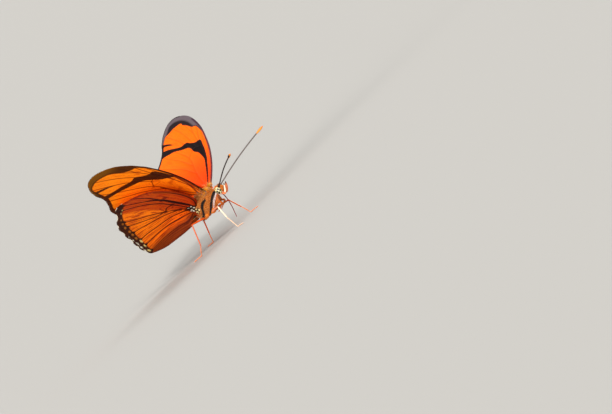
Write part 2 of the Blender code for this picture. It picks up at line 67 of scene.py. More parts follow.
# %% [markdown]
# ## The body's own frame
# A butterfly is easiest to describe along its own body: X forward to the head, Y to its left,
# Z up, in millimetres from a point level with the forewing roots. On the floor that frame is
# tipped a little, head up. One matrix takes every mesh from the body's millimetres to the world.

# %% From body millimetres to the world
MM = 0.001
HEAD_UP = math.radians(4.0)
BODY_ORIGIN = Vector((2.7, -2.09, 15.5))
BODY = Matrix.Translation(BODY_ORIGIN * MM) @ Matrix.Rotation(-HEAD_UP, 4, "Y") @ Matrix.Scale(MM, 4)
SIDES = {"right": -1, "left": 1}
rng = np.random.default_rng(7)


def sided(point, side):
    """The same place on the left or the right of the body."""
    return (point[0], abs(point[1]) * SIDES[side], point[2])


print("body origin in the world:", [round(v, 4) for v in BODY.translation])

# %% [markdown]
# ## The camera
# The photograph looks at the butterfly's right side, a little from in front, with the body's
# slope turned into the picture. A very long lens keeps the view nearly parallel. The aim is
# worked out from where the body's origin lies in the 612 by 414 picture.

# %% Aim the camera
IMAGE_WIDTH, IMAGE_HEIGHT = 612, 414
PIXELS_PER_MM = 3.084
ORIGIN_PIXEL = (206.23, 189.58)
AROUND, ABOVE, ROLL = math.radians(31.3), math.radians(2.0), math.radians(44.8)
LENS, SENSOR = 600.0, 36.0
NEAREST, FARTHEST = 0.05, 60.0


def placed(name, data):
    """A new object in the scene."""
    item = bpy.data.objects.new(name, data)
    bpy.context.scene.collection.objects.link(item)
    return item


level_right = Vector((math.cos(AROUND), math.sin(AROUND), 0))
ahead = Vector((-math.sin(AROUND), math.cos(AROUND), 0))
upward = Vector((0, 0, 1))
level_up = math.sin(ABOVE) * ahead + math.cos(ABOVE) * upward
to_camera = math.sin(ABOVE) * upward - math.cos(ABOVE) * ahead
right = math.cos(ROLL) * level_right - math.sin(ROLL) * level_up
up = math.sin(ROLL) * level_right + math.cos(ROLL) * level_up
off_right, off_down = IMAGE_WIDTH / 2 - ORIGIN_PIXEL[0], IMAGE_HEIGHT / 2 - ORIGIN_PIXEL[1]
aim = (off_right * right - off_down * up) / PIXELS_PER_MM
distance = IMAGE_WIDTH / PIXELS_PER_MM * LENS / SENSOR

lens = bpy.data.cameras.new("camera")
lens.lens, lens.sensor_width = LENS, SENSOR
lens.clip_start, lens.clip_end = NEAREST, FARTHEST
camera = placed("camera", lens)
turn = BODY.to_3x3().normalized() @ Matrix((right, up, to_camera)).transposed()
camera.matrix_world = Matrix.Translation(BODY @ (aim + distance * to_camera)) @ turn.to_4x4()
bpy.context.scene.camera = camera
print("camera stands", round(camera.matrix_world.translation.z * 1000), "mm above the floor")

# %% [markdown]
# ## Floor and light
# A museum case has a plain pale ground and soft light. Large soft suns give light without any
# lamp in view, and the pale floor sends some of it up under the wings. The orange of this
# butterfly is very strong. The film-like default view would wash it out, so the standard one is
# used, with lamps mild enough that the pale floor still keeps its tone.

# %% Floor, world and lamps
FLOOR_RADIUS = 12.0
FLOOR_PALE = (0.42, 0.415, 0.4, 1)
FLOOR_ROUGHNESS = 0.9
SUNS = [  # name, direction it comes from in the body frame, strength, angle of softness, colour
    ("key", (0.62, -0.45, 0.62), 2.1, 20, (1.0, 0.97, 0.92)),
    ("side", (-0.15, -0.97, 0.2), 3.0, 40, (1.0, 0.96, 0.9)),
    ("top", (0.2, 0.45, 0.9), 1.2, 40, (1.0, 0.98, 0.96)),
]
WORLD_LIGHT = (1.0, 0.99, 0.97, 1)
WORLD_STRENGTH = 0.55


def make_floor():
    """A wide round ground with a plain pale finish."""
    pale = bpy.data.materials.new("pale_floor")
    pale.use_nodes = True
    shader = pale.node_tree.nodes["Principled BSDF"]
    shader.inputs["Base Color"].default_value = FLOOR_PALE
    shader.inputs["Roughness"].default_value = FLOOR_ROUGHNESS
    mesh = bpy.data.meshes.new("floor")
    work = bmesh.new()
    bmesh.ops.create_circle(work, cap_ends=True, segments=96, radius=FLOOR_RADIUS)
    work.to_mesh(mesh)
    work.free()
    mesh.materials.append(pale)
    floor = placed("floor", mesh)
    floor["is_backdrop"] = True


def make_sun(name, source, strength, softness, colour):
    """A sun that shines from one direction, with shadows as soft as its angle is wide."""
    lamp = bpy.data.lights.new(name, "SUN")
    lamp.energy, lamp.angle, lamp.color = strength, math.radians(softness), colour
    placed(name, lamp).rotation_euler = Vector(source).to_track_quat("Z", "Y").to_euler()


make_floor()
for sun in SUNS:
    make_sun(*sun)

world = bpy.data.worlds.new("studio")
bpy.context.scene.world = world
world.use_nodes = True
background = world.node_tree.nodes["Background"]
background.inputs["Color"].default_value = WORLD_LIGHT
background.inputs["Strength"].default_value = WORLD_STRENGTH
bpy.context.scene.view_settings.view_transform = "Standard"
print("lamps:", [sun[0] for sun in SUNS])

# %% [markdown]
# ## Helpers for meshes
# Most pieces here are grown from arrays of points, so one helper turns points and faces into an
# object, gives it its finishes and stores named values on its vertices. The finishes read those
# values, mostly distances in millimetres to an edge of a marking, which stay crisp between
# vertices.

# %% Objects from arrays


def grow(name, points, faces, values, *finishes, smooth=True):
    """An object from body millimetres, with named values on its vertices and its finishes."""
    mesh = bpy.data.meshes.new(name)
    mesh.from_pydata(np.asarray(points, float).tolist(), [], faces)
    mesh.transform(BODY)
    for finish in finishes:
        mesh.materials.append(finish)
    for key, numbers in values.items():
        layer = mesh.attributes.new(key, "FLOAT", "POINT")
        layer.data.foreach_set("value", np.ascontiguousarray(numbers, np.float32))
    if smooth:
        mesh.shade_smooth()
    mesh.update()
    return placed(name, mesh)


def settle(item, slot, *nodes):
    """Carries a piece on the body and hides the solids it stands for. The slot is not used."""
    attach(item, "root")
    if nodes:
        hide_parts(*nodes)
    print(item.name, len(item.data.polygons), "faces")


def smooth_curve(points, step, closed=False):
    """Points about one step apart on a smooth curve through the given ones."""
    given = np.array(points, float)
    count = len(given)
    if closed:
        padded = np.vstack([given[-1:], given, given[:2]])
    else:
        padded = np.vstack([2 * given[0] - given[1], given, 2 * given[-1] - given[-2]])
    out = []
    for i in range(count if closed else count - 1):
        a, b, c, d = padded[i:i + 4]
        pieces = max(1, round(float(np.linalg.norm((c - b)[:3])) / step))
        for f in np.arange(pieces) / pieces:
            out.append(0.5 * (2 * b + (c - a) * f + (2 * a - 5 * b + 4 * c - d) * f * f
                              + (3 * b - 3 * c + d - a) * f ** 3))
    if not closed:
        out.append(given[-1])
    return np.array(out)


def running_length(line):
    """How far along a line each of its points lies."""
    return np.concatenate([[0], np.cumsum(np.linalg.norm(np.diff(line, axis=0), axis=1))])


def distance_to(points, line):
    """Shortest distance of each point to a line of straight pieces."""
    best = np.full(len(points), np.inf)
    for a, b in zip(line, line[1:]):
        run = b - a
        f = np.clip(((points - a) @ run) / max(run @ run, 1e-9), 0, 1)
        best = np.minimum(best, np.linalg.norm(points - (a + f[:, None] * run), axis=1))
    return best


def closed_loop(line):
    """A line that ends where it starts."""
    return np.vstack([line, line[:1]])


def to_nearest(points, places):
    """Distance of each point to the nearest of some places."""
    return np.min(np.linalg.norm(points[:, None] - places[None], axis=2), axis=1)


def depth_in(points, loop):
    """How far each flat point lies inside a closed outline, and less than nothing outside it."""
    inside = np.zeros(len(points), bool)
    x, y = points.T
    for (x1, y1), (x2, y2) in zip(loop, np.roll(loop, -1, axis=0)):
        if y1 != y2:
            inside ^= ((y1 > y) != (y2 > y)) & (x < (x2 - x1) * (y - y1) / (y2 - y1) + x1)
    away = distance_to(points, closed_loop(loop))
    return np.where(inside, away, -away)


def ease(value):
    """From 0 to 1 with a soft start and a soft end."""
    value = np.clip(value, 0.0, 1.0)
    return value * value * (3 - 2 * value)


bend = smooth_curve([(0, 0), (2, 0), (2, 2)], 0.5)
print("a curve round a corner:", len(bend), "points,", running_length(bend)[-1].round(2), "mm long")

# %% [markdown]
# ## Helpers for materials
# Colours are written as they look on a screen, from 0 to 255, and turned into the linear light
# that Blender mixes. A finish starts with a ground colour and lays markings over it, one at a
# time, as the scales of a wing do. A little noise on each edge makes it ragged, scale by scale.

# %% Finishes in layers


def tint(red, green, blue):
    """Linear light for a colour as it looks on a screen."""
    parts = [c / 255 for c in (red, green, blue)]
    return tuple(c / 12.92 if c <= 0.04045 else ((c + 0.055) / 1.055) ** 2.4 for c in parts) + (1.0,)


class Finish:
    """A material that is painted layer by layer."""

    def __init__(self, name, roughness, gloss=0.15):
        self.material = bpy.data.materials.new(name)
        self.material.use_nodes = True
        self.tree = self.material.node_tree
        self.shader = self.tree.nodes["Principled BSDF"]
        self.shader.inputs["Roughness"].default_value = roughness
        self.shader.inputs["Specular IOR Level"].default_value = gloss
        self.colour = None

    def node(self, kind, inputs=(), **settings):
        made = self.tree.nodes.new(kind)
        for key, value in settings.items():
            setattr(made, key, value)
        for socket, value in dict(inputs).items():
            if isinstance(value, bpy.types.NodeSocket):
                self.tree.links.new(value, made.inputs[socket])
            else:
                made.inputs[socket].default_value = value
        return made

    def value(self, name):
        return self.node("ShaderNodeAttribute", attribute_name=name).outputs["Fac"]

    def math(self, operation, a, b=0.0):
        return self.node("ShaderNodeMath", {0: a, 1: b}, operation=operation).outputs[0]

    def noise(self, size, detail, place=None):
        """Noise with cells about so many millimetres across, from 0 to 1."""
        if place is None:
            place = self.node("ShaderNodeTexCoord").outputs["Object"]
            size = size * MM
        wanted = {"Vector": place, "Scale": 1.0 / size, "Detail": detail, "Roughness": 0.55}
        return self.node("ShaderNodeTexNoise", wanted).outputs["Fac"]

    def ramp(self, value, low, high, to_low=0.0, to_high=1.0):
        wanted = {"Value": value, "From Min": low, "From Max": high, "To Min": to_low, "To Max": to_high}
        made = self.node("ShaderNodeMapRange", wanted, interpolation_type="SMOOTHSTEP")
        return made.outputs["Result"]

    def share(self, name, low, high, to_low=0.0, to_high=1.0):
        """How far a stored value has come from low to high."""
        return self.ramp(self.value(name), low, high, to_low, to_high)

    def both(self, a, b):
        """Only where one factor and the other are high."""
        return self.math("MULTIPLY", a, b)

    def mix(self, factor, a, b):
        return self.node("ShaderNodeMix", {0: factor, 6: a, 7: b}, data_type="RGBA").outputs[2]

    def ground(self, size, detail, dark, light):
        """Starts with a colour that wanders between two, and gives back the noise it follows."""
        grain = self.noise(size, detail)
        self.colour = self.mix(self.ramp(grain, 0.3, 0.7), dark, light)
        return grain

    def ragged(self, grain, reach):
        """Noise turned into millimetres, to be added to the edge of a marking."""
        return self.ramp(grain, 0.25, 0.75, -reach, reach)

    def lay(self, factor, colour, strength=1.0):
        """Puts a colour over what is there, as far as the factor goes."""
        if strength != 1.0:
            factor = self.both(factor, strength)
        self.colour = self.mix(factor, self.colour, colour)

    def mark(self, name, colour, soft, strength=1.0, ragged=None):
        """Paints where a stored distance is above zero, with a soft or ragged edge."""
        away = self.value(name)
        if ragged is not None:
            away = self.math("ADD", away, ragged)
        self.lay(self.ramp(away, -soft, soft), colour, strength)

    def bump(self, height, depth):
        """Raises the surface by so many millimetres where the height is 1."""
        wanted = {"Height": height, "Distance": depth * MM, "Strength": 1.0}
        normal = self.shader.inputs["Normal"]
        if normal.is_linked:
            wanted["Normal"] = normal.links[0].from_socket
        self.tree.links.new(self.node("ShaderNodeBump", wanted).outputs[0], normal)

    def done(self):
        self.tree.links.new(self.colour, self.shader.inputs["Base Color"])
        return self.material


print("an orange in linear light:", [round(part, 3) for part in tint(255, 124, 4)])

# %% [markdown]
# ## The wings: plan
# A wing is a skin thinner than paper, stretched on hollow veins. We draw it flat, with s running
# out along the span and t forward to the front edge. The outline and the veins come first, and
# triangles are then fitted to them, so that every vein is a line of the mesh and can be raised
# as a real ridge.

# %% Outlines and veins
FOREWING_SPAN, HINDWING_SPAN = 42.0, 28.0
FOREWING_OUTLINE = [(-1.6, 0.9), (0, 1.1), (4, 3.0), (9, 5.0), (15, 6.6), (21, 7.3), (27, 7.4), (33, 6.3),
                    (37.3, 4.3), (40.0, 1.7), (41.4, -1.0), (41.1, -3.4), (39.2, -5.8), (36.3, -7.6),
                    (33.2, -8.7), (31.3, -9.6), (29.6, -11.2), (27.9, -13.0), (25.4, -14.3),
                    (22.4, -14.4), (19, -13.0), (15, -10.8), (10, -7.4), (5, -3.9), (0.5, -1.5),
                    (-1.6, -1.3)]
HINDWING_OUTLINE = [(-2.0, -2.6), (0.1, -2.0), (1.4, 0.4), (3.8, 2.1), (8, 4.1), (12.5, 5.6), (17, 6.4),
                    (21, 6.2), (24.2, 4.6), (27.0, 1.6), (28.9, -1.6), (29.1, -4.6), (27.7, -7.2),
                    (26.5, -9.4), (25.0, -12.6), (22.8, -15.7), (19.9, -18.3), (17.2, -20.4),
                    (14.6, -22.4), (11.6, -24.4), (9.3, -25.4), (7.2, -25.5), (5.2, -23.7), (3.6, -21.0),
                    (2.1, -16.4), (1.1, -12.4), (0.4, -8.6), (0, -6.0), (-2.0, -5.6)]
FOREWING_VEINS = [
    [(0.2, 0.7), (4, 2.2), (9, 4.2), (15, 5.9), (21, 6.9)],
    [(0.2, 0.1), (6, 2.1), (12, 3.5), (18.5, 4.3), (25, 5.4), (30.4, 6.6)],
    [(13, 3.7), (19, 5.7), (25.5, 7.0)],
    [(18.5, 4.3), (26, 4.1), (31, 4.4), (35.4, 4.8)],
    [(26, 4.1), (33, 2.6), (40.3, 0.3)],
    [(18.5, 4.3), (19.6, 2.6), (19.6, 0.9), (17.8, -1.2)],
    [(19.6, 2.6), (28, 1.3), (36, -1.2), (40.6, -3.1)],
    [(19.6, 0.9), (27, -1.0), (34, -3.9), (38.4, -5.7)],
    [(0.2, -0.5), (5, -1.1), (10, -1.3), (17.8, -1.2), (25, -4.1), (31, -6.4), (35.7, -7.4)],
    [(13.6, -1.4), (20, -4.3), (26, -7.6), (30.7, -9.6)],
    [(8.6, -1.3), (15, -4.6), (21, -8.7), (27.4, -12.6)],
    [(0.6, -1.0), (6, -3.7), (12, -7.6), (18, -11.6), (23.4, -13.8)],
]
HINDWING_VEINS = [
    [(0.2, -2.6), (2.6, 0.3), (7, 2.8), (13, 4.6), (19.5, 5.2)],
    [(0.2, -3.0), (4, -2.0), (9, -0.8), (14, 0.4), (20, 1.9), (25.4, 2.2)],
    [(14, 0.4), (21, -0.3), (28.2, -2.2)],
    [(0.2, -3.5), (3, -3.5), (9, -2.3), (15, -1.6), (21, -2.6), (28.0, -5.6)],
    [(9, -2.3), (10.4, -4.0), (10.0, -6.0)],
    [(0.2, -4.0), (5, -4.6), (10, -6.0), (15, -8.0), (20, -10.4), (25.0, -11.9)],
    [(10, -6.0), (13, -9.0), (20, -13.4), (22.6, -15.0)],
    [(5, -4.6), (8, -6.6), (10.5, -8.7), (13, -11.5), (16.5, -15.5), (18.7, -18.6)],
    [(0.3, -4.4), (3.5, -5.3), (6, -7.6), (8, -10.2), (10, -13.5), (12.5, -17.5), (14.4, -21.8)],
    [(0.4, -4.9), (3, -6.9), (5, -10.2), (8, -15.6), (11.6, -23.6)],
    [(0.4, -5.4), (2.6, -10.0), (5.0, -16.4), (8.0, -24.6)],
]
FOREWING = {
    "root": (0.0, 2.48, 0.0), "span": FOREWING_SPAN, "scallop": 0.12,
    "outline": FOREWING_OUTLINE, "veins": FOREWING_VEINS,
    "outer": [(40.0, 1.7), (41.4, -1.0), (39.2, -5.8), (33.2, -8.7), (29.6, -11.2), (25.4, -14.3)],
}
HINDWING = {
    "root": (-3.15, 2.48, -1.1), "span": HINDWING_SPAN, "scallop": 0.38,
    "outline": HINDWING_OUTLINE, "veins": HINDWING_VEINS,
    "outer": [(28.9, -1.6), (29.1, -4.6), (26.5, -9.4), (22.8, -15.7), (17.2, -20.4), (11.6, -24.4),
              (7.5, -25.6)],
}
print("points in the outlines:", len(FOREWING_OUTLINE), "and", len(HINDWING_OUTLINE))

# %% [markdown]
# ## The wings: triangles
# Blender can fit triangles between given lines. We hand it the rim, the veins, a row of points on
# each side of every vein and an even filling. The rim is drawn in a little between the vein ends,
# which gives the outer margin its scallops.

# %% Fit triangles to rim and veins
RIM_STEP, VEIN_STEP, FILL_STEP = 0.36, 0.42, 0.44
VEIN_HALF = 0.2
ROW_SHARE = 0.87  # height of an even triangle as a share of its side
ROW_CLEAR, FILL_CLEAR, VEIN_CLEAR = 0.2, 0.22, 0.16  # least distances to the rim and to the veins
SCALLOP_START, SCALLOP_WIDTH, OUTER_REACH = 0.8, 1.1, 1.5
MERGE = 0.004  # points closer than this become one


def scalloped(rim, form, ends):
    """The rim, drawn in between the ends of the veins along the outer margin."""
    on_outer = ease(OUTER_REACH - distance_to(rim, smooth_curve(form["outer"], RIM_STEP)))
    past_vein = np.maximum(to_nearest(rim, ends) - SCALLOP_START, 0) / SCALLOP_WIDTH
    depth = form["scallop"] * (1 - np.exp(-past_vein ** 2)) * on_outer
    run = np.roll(rim, -1, axis=0) - np.roll(rim, 1, axis=0)
    inward = np.column_stack([run[:, 1], -run[:, 0]]) / np.linalg.norm(run, axis=1)[:, None]
    return rim + depth[:, None] * inward


def off_veins(points, veins):
    """Distance of each flat point to the nearest vein."""
    return np.min([distance_to(points, vein) for vein in veins], axis=0)


def plan_wing(form):
    """Flat points and triangles whose edges run along the rim and the veins."""
    veins = [smooth_curve(vein, VEIN_STEP) for vein in form["veins"]]
    ends = np.array([vein[-1] for vein in veins])
    rim = scalloped(smooth_curve(form["outline"], RIM_STEP, closed=True), form, ends)
    points, edges = [rim], [(k, (k + 1) % len(rim)) for k in range(len(rim))]
    start = len(rim)
    for vein in veins:
        points.append(vein)
        edges += [(start + k, start + k + 1) for k in range(len(vein) - 1)]
        start += len(vein)
    for vein in veins:
        run = np.gradient(vein, axis=0)
        side = np.column_stack([-run[:, 1], run[:, 0]]) / np.linalg.norm(run, axis=1)[:, None]
        for sign in (1, -1):
            row = vein + sign * VEIN_HALF * side
            clear = off_veins(row, veins) > 0.8 * VEIN_HALF
            points.append(row[clear & (depth_in(row, rim) > ROW_CLEAR)])
    low, high = rim.min(axis=0), rim.max(axis=0)
    rows = np.arange(low[1], high[1], FILL_STEP * ROW_SHARE)
    fill = np.array([(s + (k % 2) * FILL_STEP / 2, t) for k, t in enumerate(rows)
                     for s in np.arange(low[0], high[0], FILL_STEP)])
    clear = off_veins(fill, veins) > VEIN_HALF + VEIN_CLEAR
    points.append(fill[clear & (depth_in(fill, rim) > FILL_CLEAR)])
    flat = [Vector(p) for p in np.vstack(points)]
    found, _, faces, *_ = delaunay_2d_cdt(flat, edges, [list(range(len(rim)))], 1, MERGE)
    return {"flat": np.array([tuple(v) for v in found]), "faces": np.array(faces), "veins": veins, "rim": rim}


plans = {"forewing": plan_wing(FOREWING), "hindwing": plan_wing(HINDWING)}
for kind, plan in plans.items():
    print(kind, "plan:", len(plan["flat"]), "points,", len(plan["faces"]), "triangles")

# %% [markdown]
# ## The wings: how they are held
# Each wing is swept, raised and pitched at its root, and a live wing is never flat: it bends up or
# down along the span, arches across, and twists. The hind wing's inner edge folds down beside the
# abdomen. One formula gives any point of any wing, so the plan can be lifted into place.

# %% Lift a flat plan into place
FOLD_REACH, FOLD_START, FOLD_FULL = 7.0, 4.0, 9.0
CHORD_UNIT = 10.0
NUDGE = 0.05  # a small step on the wing, for directions
WING_SETS = {  # form, (sweep, dihedral, pitch) in degrees, (bend, camber, twist, fold)
    "forewing_right": (FOREWING, (-11.3, 51.1, 7.1), (-3.4, -0.83, 2.4, 0.0)),
    "forewing_left": (FOREWING, (-14.3, 40.2, 22.2), (-3.5, -0.9, 3.1, 0.0)),
    "hindwing_right": (HINDWING, (-17.4, 43.4, 1.6), (-1.6, -0.43, -1.0, 0.6)),
    "hindwing_left": (HINDWING, (-14.9, 34.9, 2.5), (-1.56, -0.43, -1.27, 0.66)),
}


def wing_surface(name, flat):
    """Points of the wing's middle surface in the body frame, for flat points (s, t)."""
    form, angles, (bend, camber, twist, fold) = WING_SETS[name]
    s, t = np.asarray(flat, float).T
    span, chord = s / form["span"], t / CHORD_UNIT
    rise = bend * span * np.abs(span) + camber * chord ** 2 + twist * span * chord
    folded = ease((-t - FOLD_START) / (FOLD_FULL - FOLD_START))
    rise -= fold * np.maximum(FOLD_REACH - s, 0) ** 2 / FOLD_REACH * folded
    sweep, dihedral, pitch = (math.radians(a) for a in angles)
    held = Matrix.Rotation(-dihedral, 3, "X") @ Matrix.Rotation(sweep, 3, "Z")
    held = held @ Matrix.Rotation(pitch, 3, "Y")
    x, y, z = form["root"]
    points = np.column_stack([t, -s, rise]) @ np.array(held).T + (x, -y, z)
    if name.endswith("left"):
        points[:, 1] *= -1
    return points


def wing_normals(name, flat):
    """The way the wing's upper side faces, from small steps along and across it."""
    along = wing_surface(name, flat + (NUDGE, 0)) - wing_surface(name, flat - (NUDGE, 0))
    across = wing_surface(name, flat + (0, NUDGE)) - wing_surface(name, flat - (0, NUDGE))
    normal = np.cross(along, across)
    normal /= np.linalg.norm(normal, axis=1)[:, None]
    return -normal if name.endswith("left") else normal


for name, (form, *_) in WING_SETS.items():
    print(name, "tip:", wing_surface(name, [(form["span"], -1)])[0].round(1))

# %% [markdown]
# ## The wings: markings
# The colour of a butterfly is laid on in scales, like tiles, so a marking is a patch with a fine
# ragged edge. Each marking is drawn once, flat, as an outline or as a line with a width, and
# every vertex keeps its distance to the marking's edge. Left and right share the drawing, and the
# upper and the under side each have their own.

# %% Distances to the markings
FAR_OUTSIDE = -9.0
LINE_STEP, PATCH_STEP = 0.5, 0.4


def line_mark(flat, route):
    """Above zero on a line given as (s, t, half width) stations."""
    line = smooth_curve(route, LINE_STEP)
    best = np.full(len(flat), FAR_OUTSIDE)
    for a, b in zip(line, line[1:]):
        run = (b - a)[:2]
        f = np.clip(((flat - a[:2]) @ run) / max(run @ run, 1e-9), 0, 1)
        away = np.linalg.norm(flat - (a[:2] + f[:, None] * run), axis=1)
        best = np.maximum(best, a[2] + f * (b[2] - a[2]) - away)
    return best


def patch_mark(flat, outline):
    """Above zero inside a smooth closed outline."""
    return depth_in(flat, smooth_curve(outline, PATCH_STEP, closed=True))


def union(*marks):
    """Several marks as one."""
    return np.max(marks, axis=0)


def spot_marks(flat, spots):
    """Above zero on oval spots given as (s, t, half length, half width, slant in degrees)."""
    best = np.full(len(flat), FAR_OUTSIDE)
    for s, t, half_long, half_wide, slant in spots:
        c, d = math.cos(math.radians(slant)), math.sin(math.radians(slant))
        turned = (flat - (s, t)) @ np.array([[c, -d], [d, c]])
        reach = np.hypot(*(turned / (half_long, half_wide)).T)
        best = np.maximum(best, (1 - reach) * min(half_long, half_wide))
    return best


on_line = line_mark(np.array([[1.0, 0.0]]), [(0, 0, 0.2), (4, 0, 0.2)])[0]
print("a point in the middle of a line 0.4 mm wide lies", on_line.round(2), "mm inside it")

# %% [markdown]
# ## The forewing's markings
# Above, a black blotch closes the cell, and the tip and the outer margin are black, with a painted
# violet-grey sheen along the rim of the black border and on the dark front edge. Below, the same
# marks are browner and softer, and dark red lines fork from the root along the front edge.

# %% Draw the forewing's markings


def forewing_marks(flat):
    """Markings of the forewing's upper side and under side."""
    cell_line = [(1, 0.0, 0.18), (6.5, 2.0, 0.34), (12, 3.6, 0.42), (14, 4.1, 0.4)]
    blotch = [(10, 3.5), (14.8, 4.7), (18.8, 5.1), (21.5, 5.1), (22.2, 3.0), (23.8, 1.4), (25.2, 0.5),
              (25.9, -2), (28.9, -5), (32.0, -8), (32.6, -9.8), (30.2, -10.2), (28.9, -8.2), (26.8, -5.1),
              (23.8, -1.8), (22.5, 0), (21.2, 0.8), (18.8, 1.3), (16.8, 2.5), (12.8, 3.2)]
    streak = [(29.9, -3.9, 0.1), (32.4, -5.6, 0.38), (35.0, -7.8, 0.5)]
    border = [(24.5, 7.2), (28.5, 6.0), (29.6, 4.6), (32.0, 3.4), (33.8, 2.2), (35.6, 1.6), (36.6, -1),
              (37.0, -4), (37.0, -5.6), (35.2, -7.6), (40, -9), (45, -3), (43, 3), (37, 7), (28, 9.5)]
    hind_margin = smooth_curve([(37.4, -7.1), *FOREWING_OUTLINE[14:19]], LINE_STEP)
    costa = smooth_curve(FOREWING_OUTLINE[1:8], LINE_STEP)
    to_costa = distance_to(flat, costa)
    upper = {
        "dark": union(line_mark(flat, cell_line), patch_mark(flat, blotch), line_mark(flat, streak),
                      0.85 - distance_to(flat, hind_margin)),
        "border": patch_mark(flat, border),
        "costa": 0.6 - to_costa,
    }
    lower_blotch = [(13.4, 5.2), (15.5, 5.8), (19, 6.1), (22, 5.8), (22.3, 4.3), (24, 2.8), (26.4, 1.5),
                    (26.7, -0.5), (29, -3.2), (31, -5.9), (33.2, -8), (33.4, -9.2), (31.8, -9.0), (30, -7.1),
                    (27.5, -4.4), (25, -1.7), (22.6, 0.6), (20, 1.6), (17, 2.7), (15.4, 3.8)]
    lower_streak = [(31.4, -2.8, 0.1), (33.5, -4.1, 0.32), (36.4, -6.3, 0.55)]
    lower_border = [(24, 7.4), (28.2, 6.2), (29.2, 4.9), (31.2, 3.2), (35, 2.0), (37.5, 0), (38.8, -2),
                    (39, -4.6), (37.4, -6), (35, -6.9), (34.4, -8.6), (40, -9), (45, -3), (43, 3), (37, 7),
                    (28, 9.5)]
    fork = [(0.4, -1.2, 0.2), (1.8, -0.6, 0.26), (4, 0.9, 0.28), (5.8, 2.1, 0.28), (8.2, 3.3, 0.28),
            (10.5, 4.2, 0.3), (13, 5.2, 0.34), (15, 5.8, 0.3)]
    rear_line = [(1.2, -2.4, 0.12), (4.5, -2.2, 0.2), (7.8, -1.9, 0.24), (12.2, -1.5, 0.2),
                 (15.5, -1.2, 0.14)]
    between = [(4.5, 1.4), (8.2, 3.4), (10.5, 4.2), (14.5, 5.5), (14.5, 6.9), (9, 5.4), (5, 3.7)]
    under = {
        "dark": union(patch_mark(flat, lower_blotch), line_mark(flat, lower_streak),
                      1.15 - distance_to(flat, hind_margin)),
        "border": patch_mark(flat, lower_border),
        "costa": np.where(flat[:, 0] < 25, 0.62 - to_costa, FAR_OUTSIDE),
        "band": union(line_mark(flat, fork), line_mark(flat, rear_line)),
        "front": patch_mark(flat, between),
    }
    return upper, under


print("forewing marks above and below:", [list(side) for side in forewing_marks(np.zeros((1, 2)))])

# %% [markdown]
# ## The hind wing's markings
# A dark band runs round the margin, with tan spots, cream spots and white dashes in it below.
# Small white spots sit at the root, and a bold dark line follows the front veins of the under
# side. Above, the part that the forewing covers is pale. Below, that part gets a painted shade of
# dark red, as light through two wings would look. The fold beside the body is dull on both sides.

# %% Draw the hind wing's markings
HINDWING_BORDER = [(27.6, -1.2), (26.6, -4.4), (25.2, -7.6), (23.6, -10.4), (21.6, -12.8), (18.8, -15.4),
                   (16, -17.8), (13.2, -20.2), (10.2, -22.6), (8, -24.4), (7.2, -27), (14, -26), (24, -18),
                   (32, -8), (31.5, 0.5)]
TAN_SPOTS = [(24.6, -10.2, 0.6, 0.3, 62), (23.1, -12.4, 0.6, 0.3, 58), (21.4, -14.4, 0.75, 0.38, 52),
             (19.1, -16.2, 0.75, 0.38, 48), (17.4, -17.7, 0.7, 0.36, 45), (15.5, -19.3, 0.8, 0.36, 42)]
CREAM_SPOTS = [(13.2, -20.6, 0.85, 0.34, 38), (11.2, -22.5, 0.75, 0.26, 34), (9.0, -24.4, 0.85, 0.3, 26),
               (26.6, -4.6, 0.5, 0.2, 70), (26.2, -6.4, 0.5, 0.2, 70)]
WHITE_DASHES = [(14.0, -21.8, 0.8, 0.2, 36), (16.2, -20.3, 0.6, 0.15, 40), (12.2, -23.3, 0.8, 0.2, 32),
                (18.2, -18.9, 0.5, 0.14, 45), (10.2, -24.6, 0.7, 0.18, 26)]
ROOT_SPOTS = [(0.7, -3.6, 0.42, 0.26, 20), (1.9, -3.2, 0.34, 0.22, 70), (1.2, -4.7, 0.4, 0.22, 100),
              (0.3, -4.9, 0.3, 0.2, 10), (2.5, -4.1, 0.22, 0.16, 0)]


def hindwing_marks(flat):
    """Markings of the hind wing's upper side and under side."""
    border = patch_mark(flat, HINDWING_BORDER)
    costal = [(0, -1.5), (4, 1.6), (10, 3.2), (18, 3.8), (25, 1.4), (31, -1), (28, 6), (14, 9), (3, 6),
              (-1, 1)]
    inner = [(-1, -5.2), (2.0, -6.0), (4.2, -12), (6.4, -18), (9.0, -26), (5, -27), (-2, -18)]
    upper = {
        "border": union(border - 0.9, 0.7 - distance_to(flat, smooth_curve(HINDWING["outer"], LINE_STEP))),
        "overlap": patch_mark(flat, costal),
        "fold": patch_mark(flat, inner),
    }
    # Under side: a painted shade, darker red where the forewing lies behind the hind wing.
    shade = [(2.5, -3.6), (8, -4.9), (14, -5.2), (20, -5.1), (26, -6.6), (31, -3), (28, 4), (18, 9), (6, 7),
             (0, 2)]
    thick = [(1.6, -2.7, 0.26), (4, -2.0, 0.5), (9, -0.8, 0.62), (14, 0.4, 0.5), (18, 0.4, 0.32),
             (21, -0.3, 0.24), (28.2, -2.2, 0.12)]
    upper_line = [(14, 0.4, 0.3), (20, 1.9, 0.24), (25.4, 2.2, 0.15)]
    thin = [(3, -3.5, 0.1), (9, -2.3, 0.24), (15, -1.6, 0.26), (21, -2.6, 0.24), (28, -5.6, 0.16)]
    under = {
        "border": border,
        "overlap": patch_mark(flat, shade),
        "fold": patch_mark(flat, inner),
        "dark": union(line_mark(flat, thick), line_mark(flat, upper_line), line_mark(flat, thin)),
        "front": 1.1 - distance_to(flat, smooth_curve(HINDWING_OUTLINE[1:12], LINE_STEP)),
        "base": spot_marks(flat, [(1.2, -4.0, 2.0, 1.2, 0)]),
        "white": union(spot_marks(flat, WHITE_DASHES), spot_marks(flat, ROOT_SPOTS)),
        "tan": spot_marks(flat, TAN_SPOTS),
        "cream": spot_marks(flat, CREAM_SPOTS),
    }
    return upper, under


MARKS = {"forewing": forewing_marks, "hindwing": hindwing_marks}
print("hind wing marks above and below:", [list(side) for side in hindwing_marks(np.zeros((1, 2)))])

